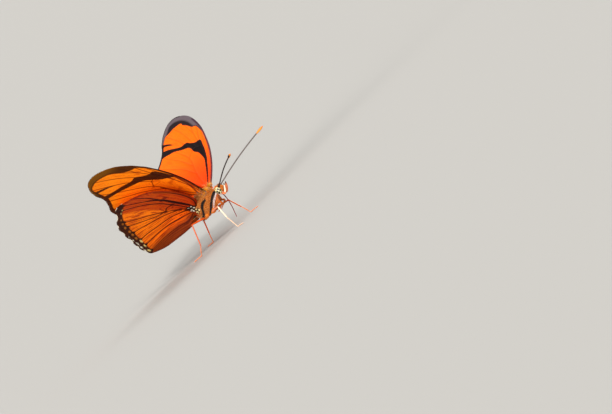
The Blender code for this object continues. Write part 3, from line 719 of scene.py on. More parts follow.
# %% [markdown]
# ## The wings: scales
# Between two veins a wing is faintly creased, and its scales lie in rows along the crease, so the
# colour runs in fine streaks that follow the veins. Each vertex stores its share of the way from
# one vein to the next. Noise read along that share makes the streaks, with no picture needed.

# %% Finishes of the wings
SCALE_ROW = 0.13


def wing_ground(paint, near_root, outer, streak, streak_strength):
    """The wing's own colour, deeper at the root, streaked along the veins. Gives back a ragged edge."""
    grain = paint.noise(SCALE_ROW, 1.0)
    place = paint.node("ShaderNodeCombineXYZ", {0: paint.value("strip"), 1: paint.value("along")})
    streaks = paint.noise(0.11, 3.0, place.outputs[0])
    paint.colour = paint.mix(paint.share("span", 0.05, 0.55), near_root, outer)
    paint.lay(paint.ramp(streaks, 0.46, 0.62), streak, streak_strength)
    paint.lay(paint.ramp(paint.noise(2.6, 2.0), 0.45, 0.9), streak, streak_strength * 0.2)
    paint.bump(streaks, 0.03)
    paint.bump(grain, 0.015)
    return paint.ragged(grain, 0.12)


def speckle(paint, strength):
    """Single darker and paler scales all over."""
    grain = paint.noise(SCALE_ROW * 0.8, 0.0)
    paint.lay(paint.ramp(grain, 0.58, 0.75), tint(60, 20, 5), strength)
    paint.lay(paint.ramp(grain, 0.42, 0.25), tint(255, 190, 90), strength * 0.6)


def forewing_upper_finish():
    paint = Finish("forewing_upper_scales", 0.5, 0.06)
    ragged = wing_ground(paint, tint(248, 66, 0), tint(250, 104, 2), tint(236, 72, 0), 0.35)
    paint.mark("vein", tint(205, 60, 0), 0.05, 0.5)
    speckle(paint, 0.10)
    paint.mark("dark", tint(22, 12, 14), 0.1, 1.0, ragged)
    paint.mark("border", tint(30, 22, 26), 0.15, 1.0, ragged)
    # Painted sheen: a violet-grey band along the rim of the black border.
    edge = paint.ramp(paint.math("ADD", paint.value("edge"), ragged), -0.4, 0.5)
    paint.lay(paint.both(edge, paint.share("border", 0.0, 0.6)), tint(98, 86, 92), 0.85)
    # The front edge is dark, with a painted violet-grey sheen in its colour.
    paint.mark("costa", tint(58, 34, 48), 0.12, 0.9, ragged)
    return paint.done()


def forewing_under_finish():
    paint = Finish("forewing_under_scales", 0.55, 0.06)
    ragged = wing_ground(paint, tint(255, 118, 4), tint(255, 136, 12), tint(212, 62, 0), 0.42)
    paint.mark("crease", tint(190, 60, 0), 0.06, 0.55)
    paint.mark("vein", tint(120, 30, 0), 0.06, 0.85)
    speckle(paint, 0.14)
    paint.mark("front", tint(150, 40, 6), 0.4, 0.7, ragged)
    paint.mark("band", tint(92, 10, 2), 0.14, 0.92, ragged)
    paint.mark("dark", tint(52, 18, 8), 0.12, 0.97, ragged)
    paint.mark("border", tint(60, 28, 6), 0.2, 0.97, ragged)
    tip = paint.both(paint.share("border", 0.1, 0.9), paint.share("span", 0.78, 0.92))
    paint.lay(tip, tint(122, 74, 8), 0.8)
    paint.mark("costa", tint(24, 10, 6), 0.1, 0.95, ragged)
    return paint.done()


def hindwing_upper_finish():
    paint = Finish("hindwing_upper_scales", 0.5, 0.06)
    ragged = wing_ground(paint, tint(240, 78, 4), tint(255, 110, 8), tint(235, 78, 0), 0.4)
    paint.mark("vein", tint(190, 55, 0), 0.05, 0.6)
    speckle(paint, 0.10)
    paint.mark("overlap", tint(196, 138, 92), 0.9, 0.75, ragged)
    paint.mark("fold", tint(120, 62, 24), 0.9, 0.8, ragged)
    paint.mark("border", tint(24, 14, 12), 0.15, 1.0, ragged)
    return paint.done()


def hindwing_under_finish():
    paint = Finish("hindwing_under_scales", 0.55, 0.06)
    ragged = wing_ground(paint, tint(250, 96, 0), tint(255, 124, 4), tint(158, 28, 0), 0.85)
    speckle(paint, 0.16)
    # Painted shade: dark red where the forewing lies behind, as light through two wings would look.
    paint.mark("overlap", tint(164, 26, 0), 0.6, 0.7, ragged)
    paint.mark("front", tint(110, 18, 0), 0.7, 0.6, ragged)
    paint.mark("fold", tint(70, 20, 4), 1.7, 0.9, ragged)
    fold_place = paint.node("ShaderNodeCombineXYZ", {0: paint.value("fold")}).outputs[0]
    rows = paint.ramp(paint.noise(0.2, 2.0, fold_place), 0.5, 0.62)
    paint.lay(paint.both(rows, paint.share("fold", -1.0, 0.5)), tint(168, 70, 14), 0.55)
    paint.mark("crease", tint(104, 20, 0), 0.08, 0.75)
    paint.mark("vein", tint(58, 10, 0), 0.07, 0.95)
    paint.mark("dark", tint(32, 3, 6), 0.12, 0.96, ragged)
    paint.mark("border", tint(40, 14, 6), 0.25, 0.97, ragged)
    paint.mark("tan", tint(178, 104, 32), 0.14, 0.75, ragged)
    paint.mark("cream", tint(226, 196, 120), 0.1, 0.9, ragged)
    paint.mark("base", tint(28, 12, 8), 0.2, 0.9, ragged)
    paint.mark("white", tint(245, 238, 215), 0.08, 1.0, ragged)
    return paint.done()


WING_FINISHES = {"forewing": (forewing_upper_finish(), forewing_under_finish()),
                 "hindwing": (hindwing_upper_finish(), hindwing_under_finish())}
print("wing finishes:", [m.name for pair in WING_FINISHES.values() for m in pair])

# %% [markdown]
# ## The wings: the sheet itself
# The flat plan is lifted into place twice, once a little above the middle surface and once a
# little below. It is thicker on each vein, sinks between veins, and thins to the rim.

# %% Faces and stored values of a sheet
VEIN_LINE_ROOT, VEIN_LINE_MARGIN = 0.15, 0.09  # half widths of the painted veins
UNDER_BOLDER = {"forewing": 0.05, "hindwing": 0.1}
CREASE_LINE, CREASE_ROOM = 0.07, 6.0
PAINTED_SHEEN_WIDTH = 1.9
TOOTH, TOOTH_WIDTH = 0.8, 0.45  # the hind wing's border runs inward along each vein
FOLD_FADE, FADE_REACH = 0.14, 1.2  # its veins are fainter on the fold
STRIP_STRIDE, ALONG_UNIT = 3.7, 40.0
KEYS = ("vein", "crease", "strip", "along", "span", "dark", "border", "edge", "costa", "band", "overlap",
        "fold", "front", "base", "white", "tan", "cream")


def vein_places(flat, veins):
    """Distance to the nearest vein, to the next one, and the share of the way between them."""
    away = np.array([distance_to(flat, vein) for vein in veins])
    order = np.argsort(away, axis=0)[:2]
    near, next_near = np.take_along_axis(away, order, 0)
    low, high = np.sort(order, axis=0)
    low_away = np.take_along_axis(away, low[None], 0)[0]
    share = low_away / np.maximum(near + next_near, 1e-6)
    return near, next_near, low + share + STRIP_STRIDE * (high - low)


def sheet_faces(faces, count, mirrored):
    """Upper side, under side, and the thin wall between them round the rim."""
    a, b, c = faces.T
    edges = np.vstack([np.column_stack(pair) for pair in ((a, b), (b, c), (c, a))])
    known = {(int(p), int(q)) for p, q in edges}
    border = sorted((p, q) for p, q in known if (q, p) not in known)
    top, bottom = faces, faces[:, ::-1] + count
    wall = [(q, p, p + count, q + count) for p, q in border]
    if mirrored:
        top, bottom = top[:, ::-1], bottom[:, ::-1]
        wall = [quad[::-1] for quad in wall]
    return top.tolist() + bottom.tolist() + wall


def wing_values(kind, flat, span, rim_away):
    """Distance to the nearest vein, and every stored value, upper side first and then under side."""
    near, next_near, strip = vein_places(flat, plans[kind]["veins"])
    values = {key: np.full((2, len(flat)), FAR_OUTSIDE) for key in KEYS}
    bolder = np.array([0.0, UNDER_BOLDER[kind]])[:, None]
    crease = np.where(near + next_near < CREASE_ROOM, CREASE_LINE - (next_near - near) / 2, FAR_OUTSIDE)
    values["vein"][:] = VEIN_LINE_ROOT + (VEIN_LINE_MARGIN - VEIN_LINE_ROOT) * span - near + bolder
    values["crease"][:] = crease + bolder / 2
    values["strip"][:] = strip
    values["along"][:] = flat[:, 0] / ALONG_UNIT
    values["span"][:] = span
    # Distance from the rim, read for the painted sheen on the forewing's black border.
    values["edge"][:] = PAINTED_SHEEN_WIDTH - rim_away
    for row, drawn in enumerate(MARKS[kind](flat)):
        for key, numbers in drawn.items():
            values[key][row] = numbers
    if kind == "hindwing":
        values["border"] += TOOTH * np.exp(-(near / TOOTH_WIDTH) ** 2)
        values["vein"] -= FOLD_FADE * ease(values["fold"] + FADE_REACH)
    return near, {key: numbers.ravel() for key, numbers in values.items()}


print("values stored on a wing:", len(KEYS))

# %% [markdown]
# ## The wings: made and unrolled
# A baked picture needs the surface laid out flat. The upper side lies on the left of the bake, the
# under side on its right, and the narrow wall of the rim in short rows above them.

# %% Make the four wings
MEMBRANE_HALF = 0.07  # half the thickness between the veins
RIDGE_ROOT, RIDGE_MARGIN = 0.12, 0.04  # what a vein adds to it at the root and at the margin
PLEAT, PLEAT_REACH, PLEAT_START = 0.09, 1.6, 0.25  # how far the sheet sinks between veins
RIM_TAPER, RIM_REACH = 0.35, 0.4
BAKE_LENGTH, BAKE_GAP, BAKE_EDGE = 0.485, 0.5, 0.005
WALL_START, WALL_CELL, WALL_FILL, WALLS_IN_ROW = 0.9, 0.008, 0.8, 120


def wing_place(kind, flat):
    """Where a flat point of the wing lies in the bake, on the upper side."""
    drawn = plans[kind]["flat"]
    low, high = drawn.min(axis=0), drawn.max(axis=0)
    return (flat - low) * (BAKE_LENGTH / (high - low).max()) + BAKE_EDGE


def unroll_wing(item, kind, triangle_count):
    """Upper side and under side flat beside each other, and the thin wall in rows above them."""
    place = wing_place(kind, plans[kind]["flat"])
    place = np.vstack([place, place + (BAKE_GAP, 0)])
    corners = np.zeros(len(item.data.loops), np.int32)
    item.data.loops.foreach_get("vertex_index", corners)
    spots = place[corners]
    first = triangle_count * 6
    walls = (len(corners) - first) // 4
    number = np.repeat(np.arange(walls), 4)
    corner = np.tile([(0, 0), (1, 0), (1, 1), (0, 1)], (walls, 1))
    spots[first:, 0] = BAKE_EDGE + (number % WALLS_IN_ROW + corner[:, 0] * WALL_FILL) * WALL_CELL
    spots[first:, 1] = WALL_START + (number // WALLS_IN_ROW + corner[:, 1] * WALL_FILL) * WALL_CELL
    layer = item.data.uv_layers.new(name="OFBake")
    layer.data.foreach_set("uv", spots.astype(np.float32).ravel())


def make_wing(name):
    """One wing with its two finishes, thick on the veins and thin at the rim."""
    kind, side = name.split("_")
    flat, faces = plans[kind]["flat"], plans[kind]["faces"]
    span = np.clip(flat[:, 0] / WING_SETS[name][0]["span"], 0, 1)
    rim_away = distance_to(flat, closed_loop(plans[kind]["rim"]))
    near, values = wing_values(kind, flat, span, rim_away)
    ridge = RIDGE_ROOT + (RIDGE_MARGIN - RIDGE_ROOT) * span
    half = MEMBRANE_HALF + ridge * np.maximum(0, 1 - (near / VEIN_HALF) ** 2)
    half *= RIM_TAPER + (1 - RIM_TAPER) * ease(rim_away / RIM_REACH)
    normal = wing_normals(name, flat)
    sunk = PLEAT * ease(near / PLEAT_REACH) * ease(span / PLEAT_START)
    middle = wing_surface(name, flat) - normal * sunk[:, None]
    points = np.vstack([middle + normal * half[:, None], middle - normal * half[:, None]])
    sheet = sheet_faces(faces, len(flat), side == "left")
    item = grow("wing_" + name, points, sheet, values, *WING_FINISHES[kind])
    index = np.zeros(len(item.data.polygons), np.int32)
    index[len(faces):] = 1
    item.data.polygons.foreach_set("material_index", index)
    unroll_wing(item, kind, len(faces))
    settle(item, kind + "_scales", name)


for name in WING_SETS:
    make_wing(name)

# %% [markdown]
# ## The body: one skin
# Under its hair a butterfly is armour: a round head, a deep thorax packed with flight muscle, six
# coxae where the legs begin, and a ringed abdomen. Modelled apart, they would show seams. So they
# are laid over one another as closed shapes, turned into one surface with a voxel remesh, and
# smoothed. The skin lies a hair's depth inside the solids.

# %% Shapes of the body
THORAX_STATIONS = [(-9.2, 0.9, -1.8, -4.2), (-8.2, 1.6, -0.7, -5.4), (-6.5, 2.25, 0.5, -6.4),
                   (-4.5, 2.6, 1.2, -6.8), (-2.5, 2.65, 1.3, -6.7), (-0.5, 2.45, 0.9, -6.2),
                   (1.0, 1.9, -0.1, -5.5), (2.0, 1.0, -1.6, -4.4)]  # x, half width, top, bottom
THORAX_SQUARENESS = 2.3
COXAE = [((0.5, 0.95, -5.2), (0.95, 0.7, 1.1)), ((-3.3, 1.2, -6.2), (1.6, 0.85, 1.15)),
         ((-6.6, 1.15, -5.9), (1.6, 0.85, 1.15))]
COXA_SLANT, TEGULA_SLANT = math.radians(30), math.radians(-14)
HEAD_MIDDLE, HEAD_HALF = (3.75, 0.0, -3.1), (1.9, 1.55, 1.75)
NECK_MIDDLE, NECK_HALF = (2.4, 0.0, -2.9), (1.2, 0.85, 1.05)
TEGULA_MIDDLE, TEGULA_HALF = (0.55, 2.0, 0.15), (1.25, 0.5, 0.6)
ABDOMEN_FRONT, ABDOMEN_END = -7.6, -25.35
ABDOMEN_LEVEL, ABDOMEN_DROOP = -2.95, 0.6
ABDOMEN_RADIUS, WAIST_RADIUS, ABDOMEN_TIP = 1.3, 0.9, 0.3
ABDOMEN_RINGS, RING_STEP = 8, 0.11
THORAX_COAT, HEAD_COAT, COXA_COAT = 0.28, 0.16, 0.14  # how far the skin lies inside the solids
BELLY_COAT_SHARE = 0.6
THORAX_SIDES, ABDOMEN_SIDES, ROUND = 40, 32, 2.0
BELLY_REACH, TAPER_START, TAPER_LENGTH, TAPER_POWER = 0.3, 0.45, 0.55, 2.2
SLEEVE_NARROW, SLEEVE_FLARE = 0.93, 0.09


def add_loft(work, stations, sides, squareness):
    """A closed body through upright sections: x, half width, top and bottom. 2 is round."""
    rings = []
    for x, half, top, bottom in stations:
        ring = []
        for k in range(sides):
            c, s = math.cos(2 * math.pi * k / sides), math.sin(2 * math.pi * k / sides)
            across = math.copysign(abs(c) ** (2 / squareness), c)
            up = math.copysign(abs(s) ** (2 / squareness), s)
            ring.append(work.verts.new((x, half * across, (top + bottom) / 2 + (top - bottom) / 2 * up)))
        rings.append(ring)
    for near, far in zip(rings, rings[1:]):
        for k in range(sides):
            work.faces.new((near[k], near[(k + 1) % sides], far[(k + 1) % sides], far[k]))
    work.faces.new(rings[0])
    work.faces.new(rings[-1])


def add_egg(work, middle, half, slant=0.0, segments=32, rings=20):
    """A closed egg, tipped by the slant."""
    made = bmesh.ops.create_uvsphere(work, u_segments=segments, v_segments=rings, radius=1)
    shape = Matrix.Translation(middle) @ Matrix.Rotation(slant, 4, "Y") @ Matrix.Diagonal((*half, 1))
    bmesh.ops.transform(work, matrix=shape, verts=made["verts"])


def abdomen_form(x):
    """The abdomen's radius and level at x, and how far along its ring that is."""
    f = np.clip((ABDOMEN_FRONT - x) / (ABDOMEN_FRONT - ABDOMEN_END), 0, 1)
    swell = np.sin(np.minimum(f / BELLY_REACH, 1) * np.pi / 2)
    belly = WAIST_RADIUS + (ABDOMEN_RADIUS - WAIST_RADIUS) * swell
    narrowing = np.maximum(0, (f - TAPER_START) / TAPER_LENGTH) ** TAPER_POWER
    taper = 1 - (1 - ABDOMEN_TIP / ABDOMEN_RADIUS) * narrowing
    return belly * taper, ABDOMEN_LEVEL - ABDOMEN_DROOP * f * f, (f * ABDOMEN_RINGS) % 1


def abdomen_stations():
    """A barrel that tapers to its tip, each ring overlapping the next like a sleeve."""
    x = np.arange(ABDOMEN_FRONT, ABDOMEN_END, -RING_STEP)
    radius, level, sleeve = abdomen_form(x)
    radius = radius * (SLEEVE_NARROW + SLEEVE_FLARE * sleeve)
    return np.column_stack([x, radius, level + radius, level - radius])


def arrays_of(mesh):
    """A mesh's points and faces."""
    points = np.zeros(len(mesh.vertices) * 3)
    mesh.vertices.foreach_get("co", points)
    return points.reshape(-1, 3), [list(face.vertices) for face in mesh.polygons]


print("rings of the abdomen:", ABDOMEN_RINGS, "from", len(abdomen_stations()), "sections")

# %% [markdown]
# ## The body: shapes become a skin
# A voxel remesh fills the closed shapes with tiny cubes and wraps one surface round them all. A
# few rounds of smoothing then soften the creases where one shape enters the next.

# %% Wrap one skin round the body
VOXEL, SMOOTHING = 0.11, 5


def remeshed(work):
    """Points and faces of one smooth surface round all the closed shapes."""
    mesh = bpy.data.meshes.new("rough")
    work.to_mesh(mesh)
    work.free()
    rough = placed("rough", mesh)
    wrap = rough.modifiers.new("wrap", "REMESH")
    wrap.mode = "VOXEL"
    wrap.voxel_size = VOXEL
    even = rough.modifiers.new("even", "SMOOTH")
    even.factor = 0.5
    even.iterations = SMOOTHING
    points, faces = arrays_of(rough.evaluated_get(bpy.context.evaluated_depsgraph_get()).to_mesh())
    bpy.data.objects.remove(rough, do_unlink=True)
    return points, faces


rough_body = bmesh.new()
inset = [(x, half - THORAX_COAT, top - THORAX_COAT, bottom + THORAX_COAT * BELLY_COAT_SHARE)
         for x, half, top, bottom in smooth_curve(THORAX_STATIONS, 0.5)]
add_loft(rough_body, inset, THORAX_SIDES, THORAX_SQUARENESS)
add_loft(rough_body, abdomen_stations(), ABDOMEN_SIDES, ROUND)
add_egg(rough_body, HEAD_MIDDLE, [h - HEAD_COAT for h in HEAD_HALF])
add_egg(rough_body, NECK_MIDDLE, NECK_HALF)
for side in SIDES:
    add_egg(rough_body, sided(TEGULA_MIDDLE, side), TEGULA_HALF, TEGULA_SLANT)
    for middle, half in COXAE:
        add_egg(rough_body, sided(middle, side), [h - COXA_COAT for h in half], COXA_SLANT)
skin_points, skin_faces = remeshed(rough_body)
low, high = skin_points.min(axis=0).round(2), skin_points.max(axis=0).round(2)
print("skin:", len(skin_points), "points, from", low, "to", high)

# %% [markdown]
# ## The body: markings
# The sides are orange-tan, crossed by black bands that slant down and back, with a pale line
# before the first. The back is browner, the underside paler, and a yellowish ruff sits at the
# wing roots. Hair and skin must agree, so one function gives the marks for any point, and another
# paints them on both.

# %% Marks of the body
BANDS = [  # x, z and half width down each side
    [(2.1, -2.3, 0.46), (1.0, -2.9, 0.44), (-0.2, -3.7, 0.38), (-1.4, -4.5, 0.36), (-2.6, -5.4, 0.36),
     (-3.8, -6.1, 0.34), (-5.0, -6.8, 0.32)],
    [(-1.6, -2.0, 0.36), (-2.7, -2.1, 0.46), (-3.7, -2.6, 0.5), (-4.5, -3.2, 0.46), (-5.3, -4.2, 0.4),
     (-6.1, -5.1, 0.42), (-7.1, -6.0, 0.4), (-7.8, -6.6, 0.36)],
    [(-7.8, -2.5, 0.35), (-8.7, -3.3, 0.5), (-9.6, -4.1, 0.5), (-10.6, -5.0, 0.4)]]
PALE_LINE = [(2.1, -3.0, 0.2), (1.2, -3.65, 0.26), (0.0, -4.45, 0.26), (-1.0, -5.2, 0.2), (-2.0, -5.95, 0.12)]
EYE_MIDDLE, EYE_HALF = (3.8, 1.35, -2.9), (1.12, 0.76, 1.3)
EYE_TILT = math.radians(-12)
RING_LENGTH = (ABDOMEN_FRONT - ABDOMEN_END) / ABDOMEN_RINGS
BAND_BLACK = tint(14, 9, 12)
BACK_HALF = 0.5  # the bands stop this far short of the middle of the back
UNMARKED = -1.0


def eye_place(points, side):
    """Places in the eye's own frame, in units of its half sizes."""
    turn = np.array(Matrix.Rotation(EYE_TILT, 3, "Y"))
    return (points - sided(EYE_MIDDLE, side)) @ turn / EYE_HALF


def beyond_eye(points):
    """About how far points lie outside the nearer eye, in millimetres."""
    reach = [np.linalg.norm(eye_place(points, side), axis=1) for side in SIDES]
    return (np.min(reach, axis=0) - 1) * 1.1


def body_marks(points):
    """The marks' distances, and how far each point belongs to a region of the body."""
    x, y, z = points.T
    radius, level, sleeve = abdomen_form(x)
    on_side = np.abs(y) > BACK_HALF
    flat = np.column_stack([x, z])
    bands = union(*(line_mark(flat, band) for band in BANDS))
    pale = line_mark(flat, PALE_LINE)
    from_eye = beyond_eye(points)
    rear = (x - 3.6) * -0.8 + (z + 2.9) * -0.6
    orbit = np.minimum(0.22 - np.abs(from_eye - 0.32), rear * 0.6)
    rim = np.minimum(0.1 - from_eye, rear * 0.6)
    crown = 0.42 - np.hypot(x - 4.65, (np.abs(y) - 0.6) * 0.9)
    return {
        "bands": np.where(on_side, bands, UNMARKED),
        "pale": np.where(on_side, pale, UNMARKED),
        "orbit": orbit,
        "rim": rim,
        "crown": np.where(z > -2.6, crown, UNMARKED),
        "back": ease((z + 0.4) / 1.4) * ease((1.6 - x) / 1.5) * ease((x + 9.5) / 1.5),
        "ruff": ease((z + 1.3) / 1.2) * ease((x + 1.6) / 1.6) * ease((2.9 - x) / 0.8),
        "belly": ease((-5.2 - z) / 1.0) * ease((x + 9) / 1.0),
        "front": ease((x - 0.2) / 1.4) * ease((-3.0 - z) / 1.2) * ease((3.0 - x) / 0.6),
        "mottle": ease((1.1 - np.hypot((x + 6.9) / 1.7, (z + 2.8) / 1.1)) * 2),
        "abdomen": ease((-8.3 - x) / 1.2),
        "height": np.clip((z - level) / radius, -1, 1),
        "ring": 0.2 - (1 - sleeve) * RING_LENGTH,
        "groove": 0.2 - sleeve * RING_LENGTH,
        "head": ease((x - 2.2) / 0.6),
    }


def paint_body(paint):
    """The body's colours, the same on skin and hair."""
    grain = paint.ground(0.35, 2.0, tint(152, 74, 16), tint(204, 116, 34))
    ragged = paint.ragged(grain, 0.1)
    paint.lay(paint.value("belly"), tint(226, 120, 32), 0.6)
    paint.lay(paint.value("front"), tint(220, 122, 62), 0.75)
    paint.lay(paint.value("back"), tint(132, 70, 24), 0.9)
    blue = paint.ramp(paint.noise(0.7, 1.0), 0.6, 0.66)
    paint.lay(paint.value("ruff"), paint.mix(blue, tint(240, 162, 28), tint(132, 140, 168)), 0.85)
    low, high = tint(236, 200, 150), tint(112, 58, 22)
    around = paint.mix(paint.share("height", -0.75, -0.45), low, tint(222, 110, 34))
    around = paint.mix(paint.share("height", 0.1, 0.7), around, high)
    around = paint.mix(paint.share("ring", -0.08, 0.08, 0.0, 0.5), around, tint(244, 176, 100))
    around = paint.mix(paint.share("groove", -0.08, 0.08, 0.0, 0.7), around, tint(52, 26, 12))
    paint.colour = paint.mix(paint.value("abdomen"), paint.colour, around)
    speck = paint.noise(0.55, 0.0)
    spots = paint.mix(paint.ramp(speck, 0.54, 0.59), tint(26, 16, 10), tint(240, 216, 150))
    paint.colour = paint.mix(paint.value("mottle"), paint.colour, spots)
    paint.lay(paint.value("head"), tint(214, 116, 36), 0.9)
    paint.mark("crown", tint(20, 14, 14), 0.08, 0.95, ragged)
    paint.mark("bands", BAND_BLACK, 0.1, 1.0, ragged)
    paint.mark("pale", tint(226, 214, 214), 0.09, 0.9, ragged)
    paint.mark("orbit", tint(240, 236, 228), 0.05, 1.0)
    paint.mark("rim", tint(14, 10, 12), 0.04, 1.0)


def skin_finish():
    paint = Finish("body_skin", 0.7)
    paint_body(paint)
    paint.bump(paint.noise(0.12, 3.0), 0.05)
    return paint.done()


skin = grow("body_skin", skin_points, skin_faces, body_marks(skin_points), skin_finish())
settle(skin, "thorax_hair", "thorax", "head", "abdomen")

# %% [markdown]
# ## The body: hair
# A butterfly's hair is made of long thin scales. Particle hair would look right but is no mesh, so
# each lock here is a solid sliver with three sides that rises from the skin, bends over and lies
# back. Thousands of them are worked out at once as arrays. Every lock keeps the marks of its root,
# and its place in the bake is a tiny patch where that root lies on the unrolled body.

# %% Locks as arrays
LOCK_RINGS = np.array([0.0, 0.4, 0.75])
LOCK_SINK, LOCK_BEND, TIP_RISE = 0.06, 0.55, 0.45
GOLDEN_TURN = 2.4  # radians, a turn that spreads things evenly round
STRAY, LENGTH_SPREAD, RISE_SPREAD = 0.22, (0.75, 1.25), (0.6, 1.5)
PATCH, BAKE_MARGIN = 0.003, 0.01
UNROLL_FRONT, UNROLL_LENGTH = 8.0, 36.0


def unit(vectors):
    """The same directions with length one."""
    return vectors / np.maximum(np.linalg.norm(vectors, axis=-1, keepdims=True), 1e-9)


def scattered(points, faces, wanted, keep):
    """Random places on a surface, and its normals there. keep gives a place's chance to stay."""
    quads = np.array([face if len(face) == 4 else [*face, face[-1]] for face in faces])
    triangles = np.vstack([quads[:, :3], quads[:, [0, 2, 3]]])
    a, b, c = (points[triangles[:, k]] for k in range(3))
    cross = np.cross(b - a, c - a)
    area = np.linalg.norm(cross, axis=1) / 2
    chosen = rng.choice(len(triangles), wanted, p=area / area.sum())
    u, v = rng.random((2, wanted, 1))
    over = (u + v) > 1
    u, v = np.where(over, 1 - u, u), np.where(over, 1 - v, v)
    roots = a[chosen] + u * (b - a)[chosen] + v * (c - a)[chosen]
    stay = rng.random(wanted) < keep(roots)
    return roots[stay], unit(cross[chosen])[stay]


def lock_faces(count, size):
    """Quads up the sides of each lock, and triangles that close its tip and its root."""
    last = (len(LOCK_RINGS) - 1) * 3
    quads = [(low + k, low + (k + 1) % 3, low + 3 + (k + 1) % 3, low + 3 + k)
             for low in range(0, last, 3) for k in range(3)]
    ends = [(last + k, last + (k + 1) % 3, size - 1) for k in range(3)] + [(2, 1, 0)]
    starts = np.arange(count)[:, None, None] * size
    sides = (np.array(quads) + starts).reshape(-1, 4)
    tips_and_roots = (np.array(ends) + starts).reshape(-1, 3)
    return sides.tolist() + tips_and_roots.tolist()


def locks(roots, normals, lie, length, width, rise):
    """Solid bent slivers: points, faces, how far up its lock each point is, points in a lock."""
    count = len(roots)
    lie = unit(lie - (lie * normals).sum(axis=1, keepdims=True) * normals)
    across = np.cross(normals, lie)
    length, width, rise = (np.broadcast_to(v, count)[:, None, None] for v in (length, width, rise))
    f = LOCK_RINGS[None, :, None]
    up, lie, across = (ways[:, None] for ways in (normals, lie, across))
    sunk = roots[:, None] - LOCK_SINK * up
    spine = sunk + length * (f * lie + f * (1 - LOCK_BEND * f) * rise * up)
    radius = width * (1 - f ** 2) ** 0.5 / 2
    corners = [across, -0.5 * across + 0.87 * up, -0.5 * across - 0.87 * up]
    rings = np.stack([spine + radius * corner for corner in corners], axis=2)
    tips = sunk + length * (lie + TIP_RISE * rise * up)
    points = np.concatenate([rings.reshape(count, -1, 3), tips], axis=1)
    size = points.shape[1]
    along = np.tile(np.append(np.repeat(LOCK_RINGS, 3), 1.0), count)
    return points.reshape(-1, 3), lock_faces(count, size), along, size


def body_place(roots):
    """Where a point lies on the unrolled body: along it, and round its axis."""
    x, y, z = roots.T
    turn = np.arctan2(y, z - ABDOMEN_LEVEL) / (2 * np.pi) + 0.5
    place = np.column_stack([(UNROLL_FRONT - x) / UNROLL_LENGTH, turn])
    return BAKE_MARGIN + (1 - 2 * BAKE_MARGIN) * place


def patch_locks(item, place, size):
    """Each lock's corners close round the place of its root in the bake."""
    turn = np.arange(size) * GOLDEN_TURN
    spread = PATCH / 2 * np.column_stack([np.cos(turn), np.sin(turn)])
    spots = np.clip((place[:, None] + spread[None]).reshape(-1, 2), 0, 1)
    corners = np.zeros(len(item.data.loops), np.int32)
    item.data.loops.foreach_get("vertex_index", corners)
    layer = item.data.uv_layers.new(name="OFBake")
    layer.data.foreach_set("uv", spots[corners].astype(np.float32).ravel())


def make_coat(name, slot, finish, roots, normals, lie, length, width, rise, marks=body_marks):
    """Many locks as one piece, a little different from one another."""
    count = len(roots)
    lie = lie + rng.normal(0, STRAY, (count, 3))
    length = length * rng.uniform(*LENGTH_SPREAD, count)
    rise = rise * rng.uniform(*RISE_SPREAD, count)
    points, faces, along, size = locks(roots, normals, lie, length, width, rise)
    values = {key: np.repeat(numbers, size) for key, numbers in marks(roots).items()}
    values["tip"] = along
    values["lock"] = np.repeat(rng.random(count), size)
    item = grow(name, points, faces, values, finish, smooth=False)
    patch_locks(item, body_place(roots), size)
    settle(item, slot)


def coat_finish():
    """The body's colours on hair, lock by lock, and darker at each root."""
    paint = Finish("body_hair", 0.55)
    paint_body(paint)
    paint.lay(paint.share("lock", 0.55, 1.0), tint(255, 196, 110), 0.35)
    paint.lay(paint.share("lock", 0.45, 0.0), tint(90, 36, 10), 0.3)
    paint.lay(paint.share("tip", 0.0, 0.5, 1.0, 0.0), tint(60, 24, 8), 0.35)
    paint.mark("bands", BAND_BLACK, 0.1, 0.9)
    paint.shader.inputs["Sheen Weight"].default_value = 0.25
    return paint.done()


sample = locks(np.zeros((1, 3)), np.eye(3)[2:], np.eye(3)[:1], 0.5, 0.07, 0.3)
print("a lock:", sample[3], "points and", len(sample[1]), "faces")

# %% [markdown]
# ## The body: combing the coat
# Hair lies back along the thorax and down its sides. It is longest on the shoulders and over the
# hips, and little more than flat scales on the abdomen. On the head it stands up as a tuft between
# the feelers. Each region gets its own length and lie, as functions of place.

# %% Comb the coats
THORAX_LOCKS, HEAD_LOCKS, ABDOMEN_LOCKS = 34000, 32000, 17000  # tried, before some are left out


def combed(roots, down):
    """A lie that runs back and falls down the sides."""
    fall = np.clip(np.abs(roots[:, 1]) / 2.2, 0, 1)
    return np.column_stack([-np.ones(len(roots)), 0.1 * np.sign(roots[:, 1]), -down * fall])


def comb_thorax(roots, flap):
    """Back and down over the body, but out along the wing on the shoulder flaps."""
    outward = (-0.5, 0, -0.3) + np.sign(roots[:, 1:2]) * (0, 1, 0)
    return combed(roots, 0.7) * (1 - flap[:, None]) + outward * flap[:, None]


def on_tegula(roots):
    """1 on the shoulder flaps and 0 away from them."""
    away = (roots - TEGULA_MIDDLE) / TEGULA_HALF
    mirrored = (roots * (1, -1, 1) - TEGULA_MIDDLE) / TEGULA_HALF
    nearest = np.minimum(np.linalg.norm(away, axis=1), np.linalg.norm(mirrored, axis=1))
    return ease((1.5 - nearest) / 0.5)


def thorax_keep(sign):
    """A chance to stay on one side of the thorax only, and none past its ends."""
    def keep(roots):
        x, y, _ = roots.T
        return ease((x + 9.2) / 0.6) * ease((2.6 - x) / 0.5) * (y * sign >= 0)
    return keep


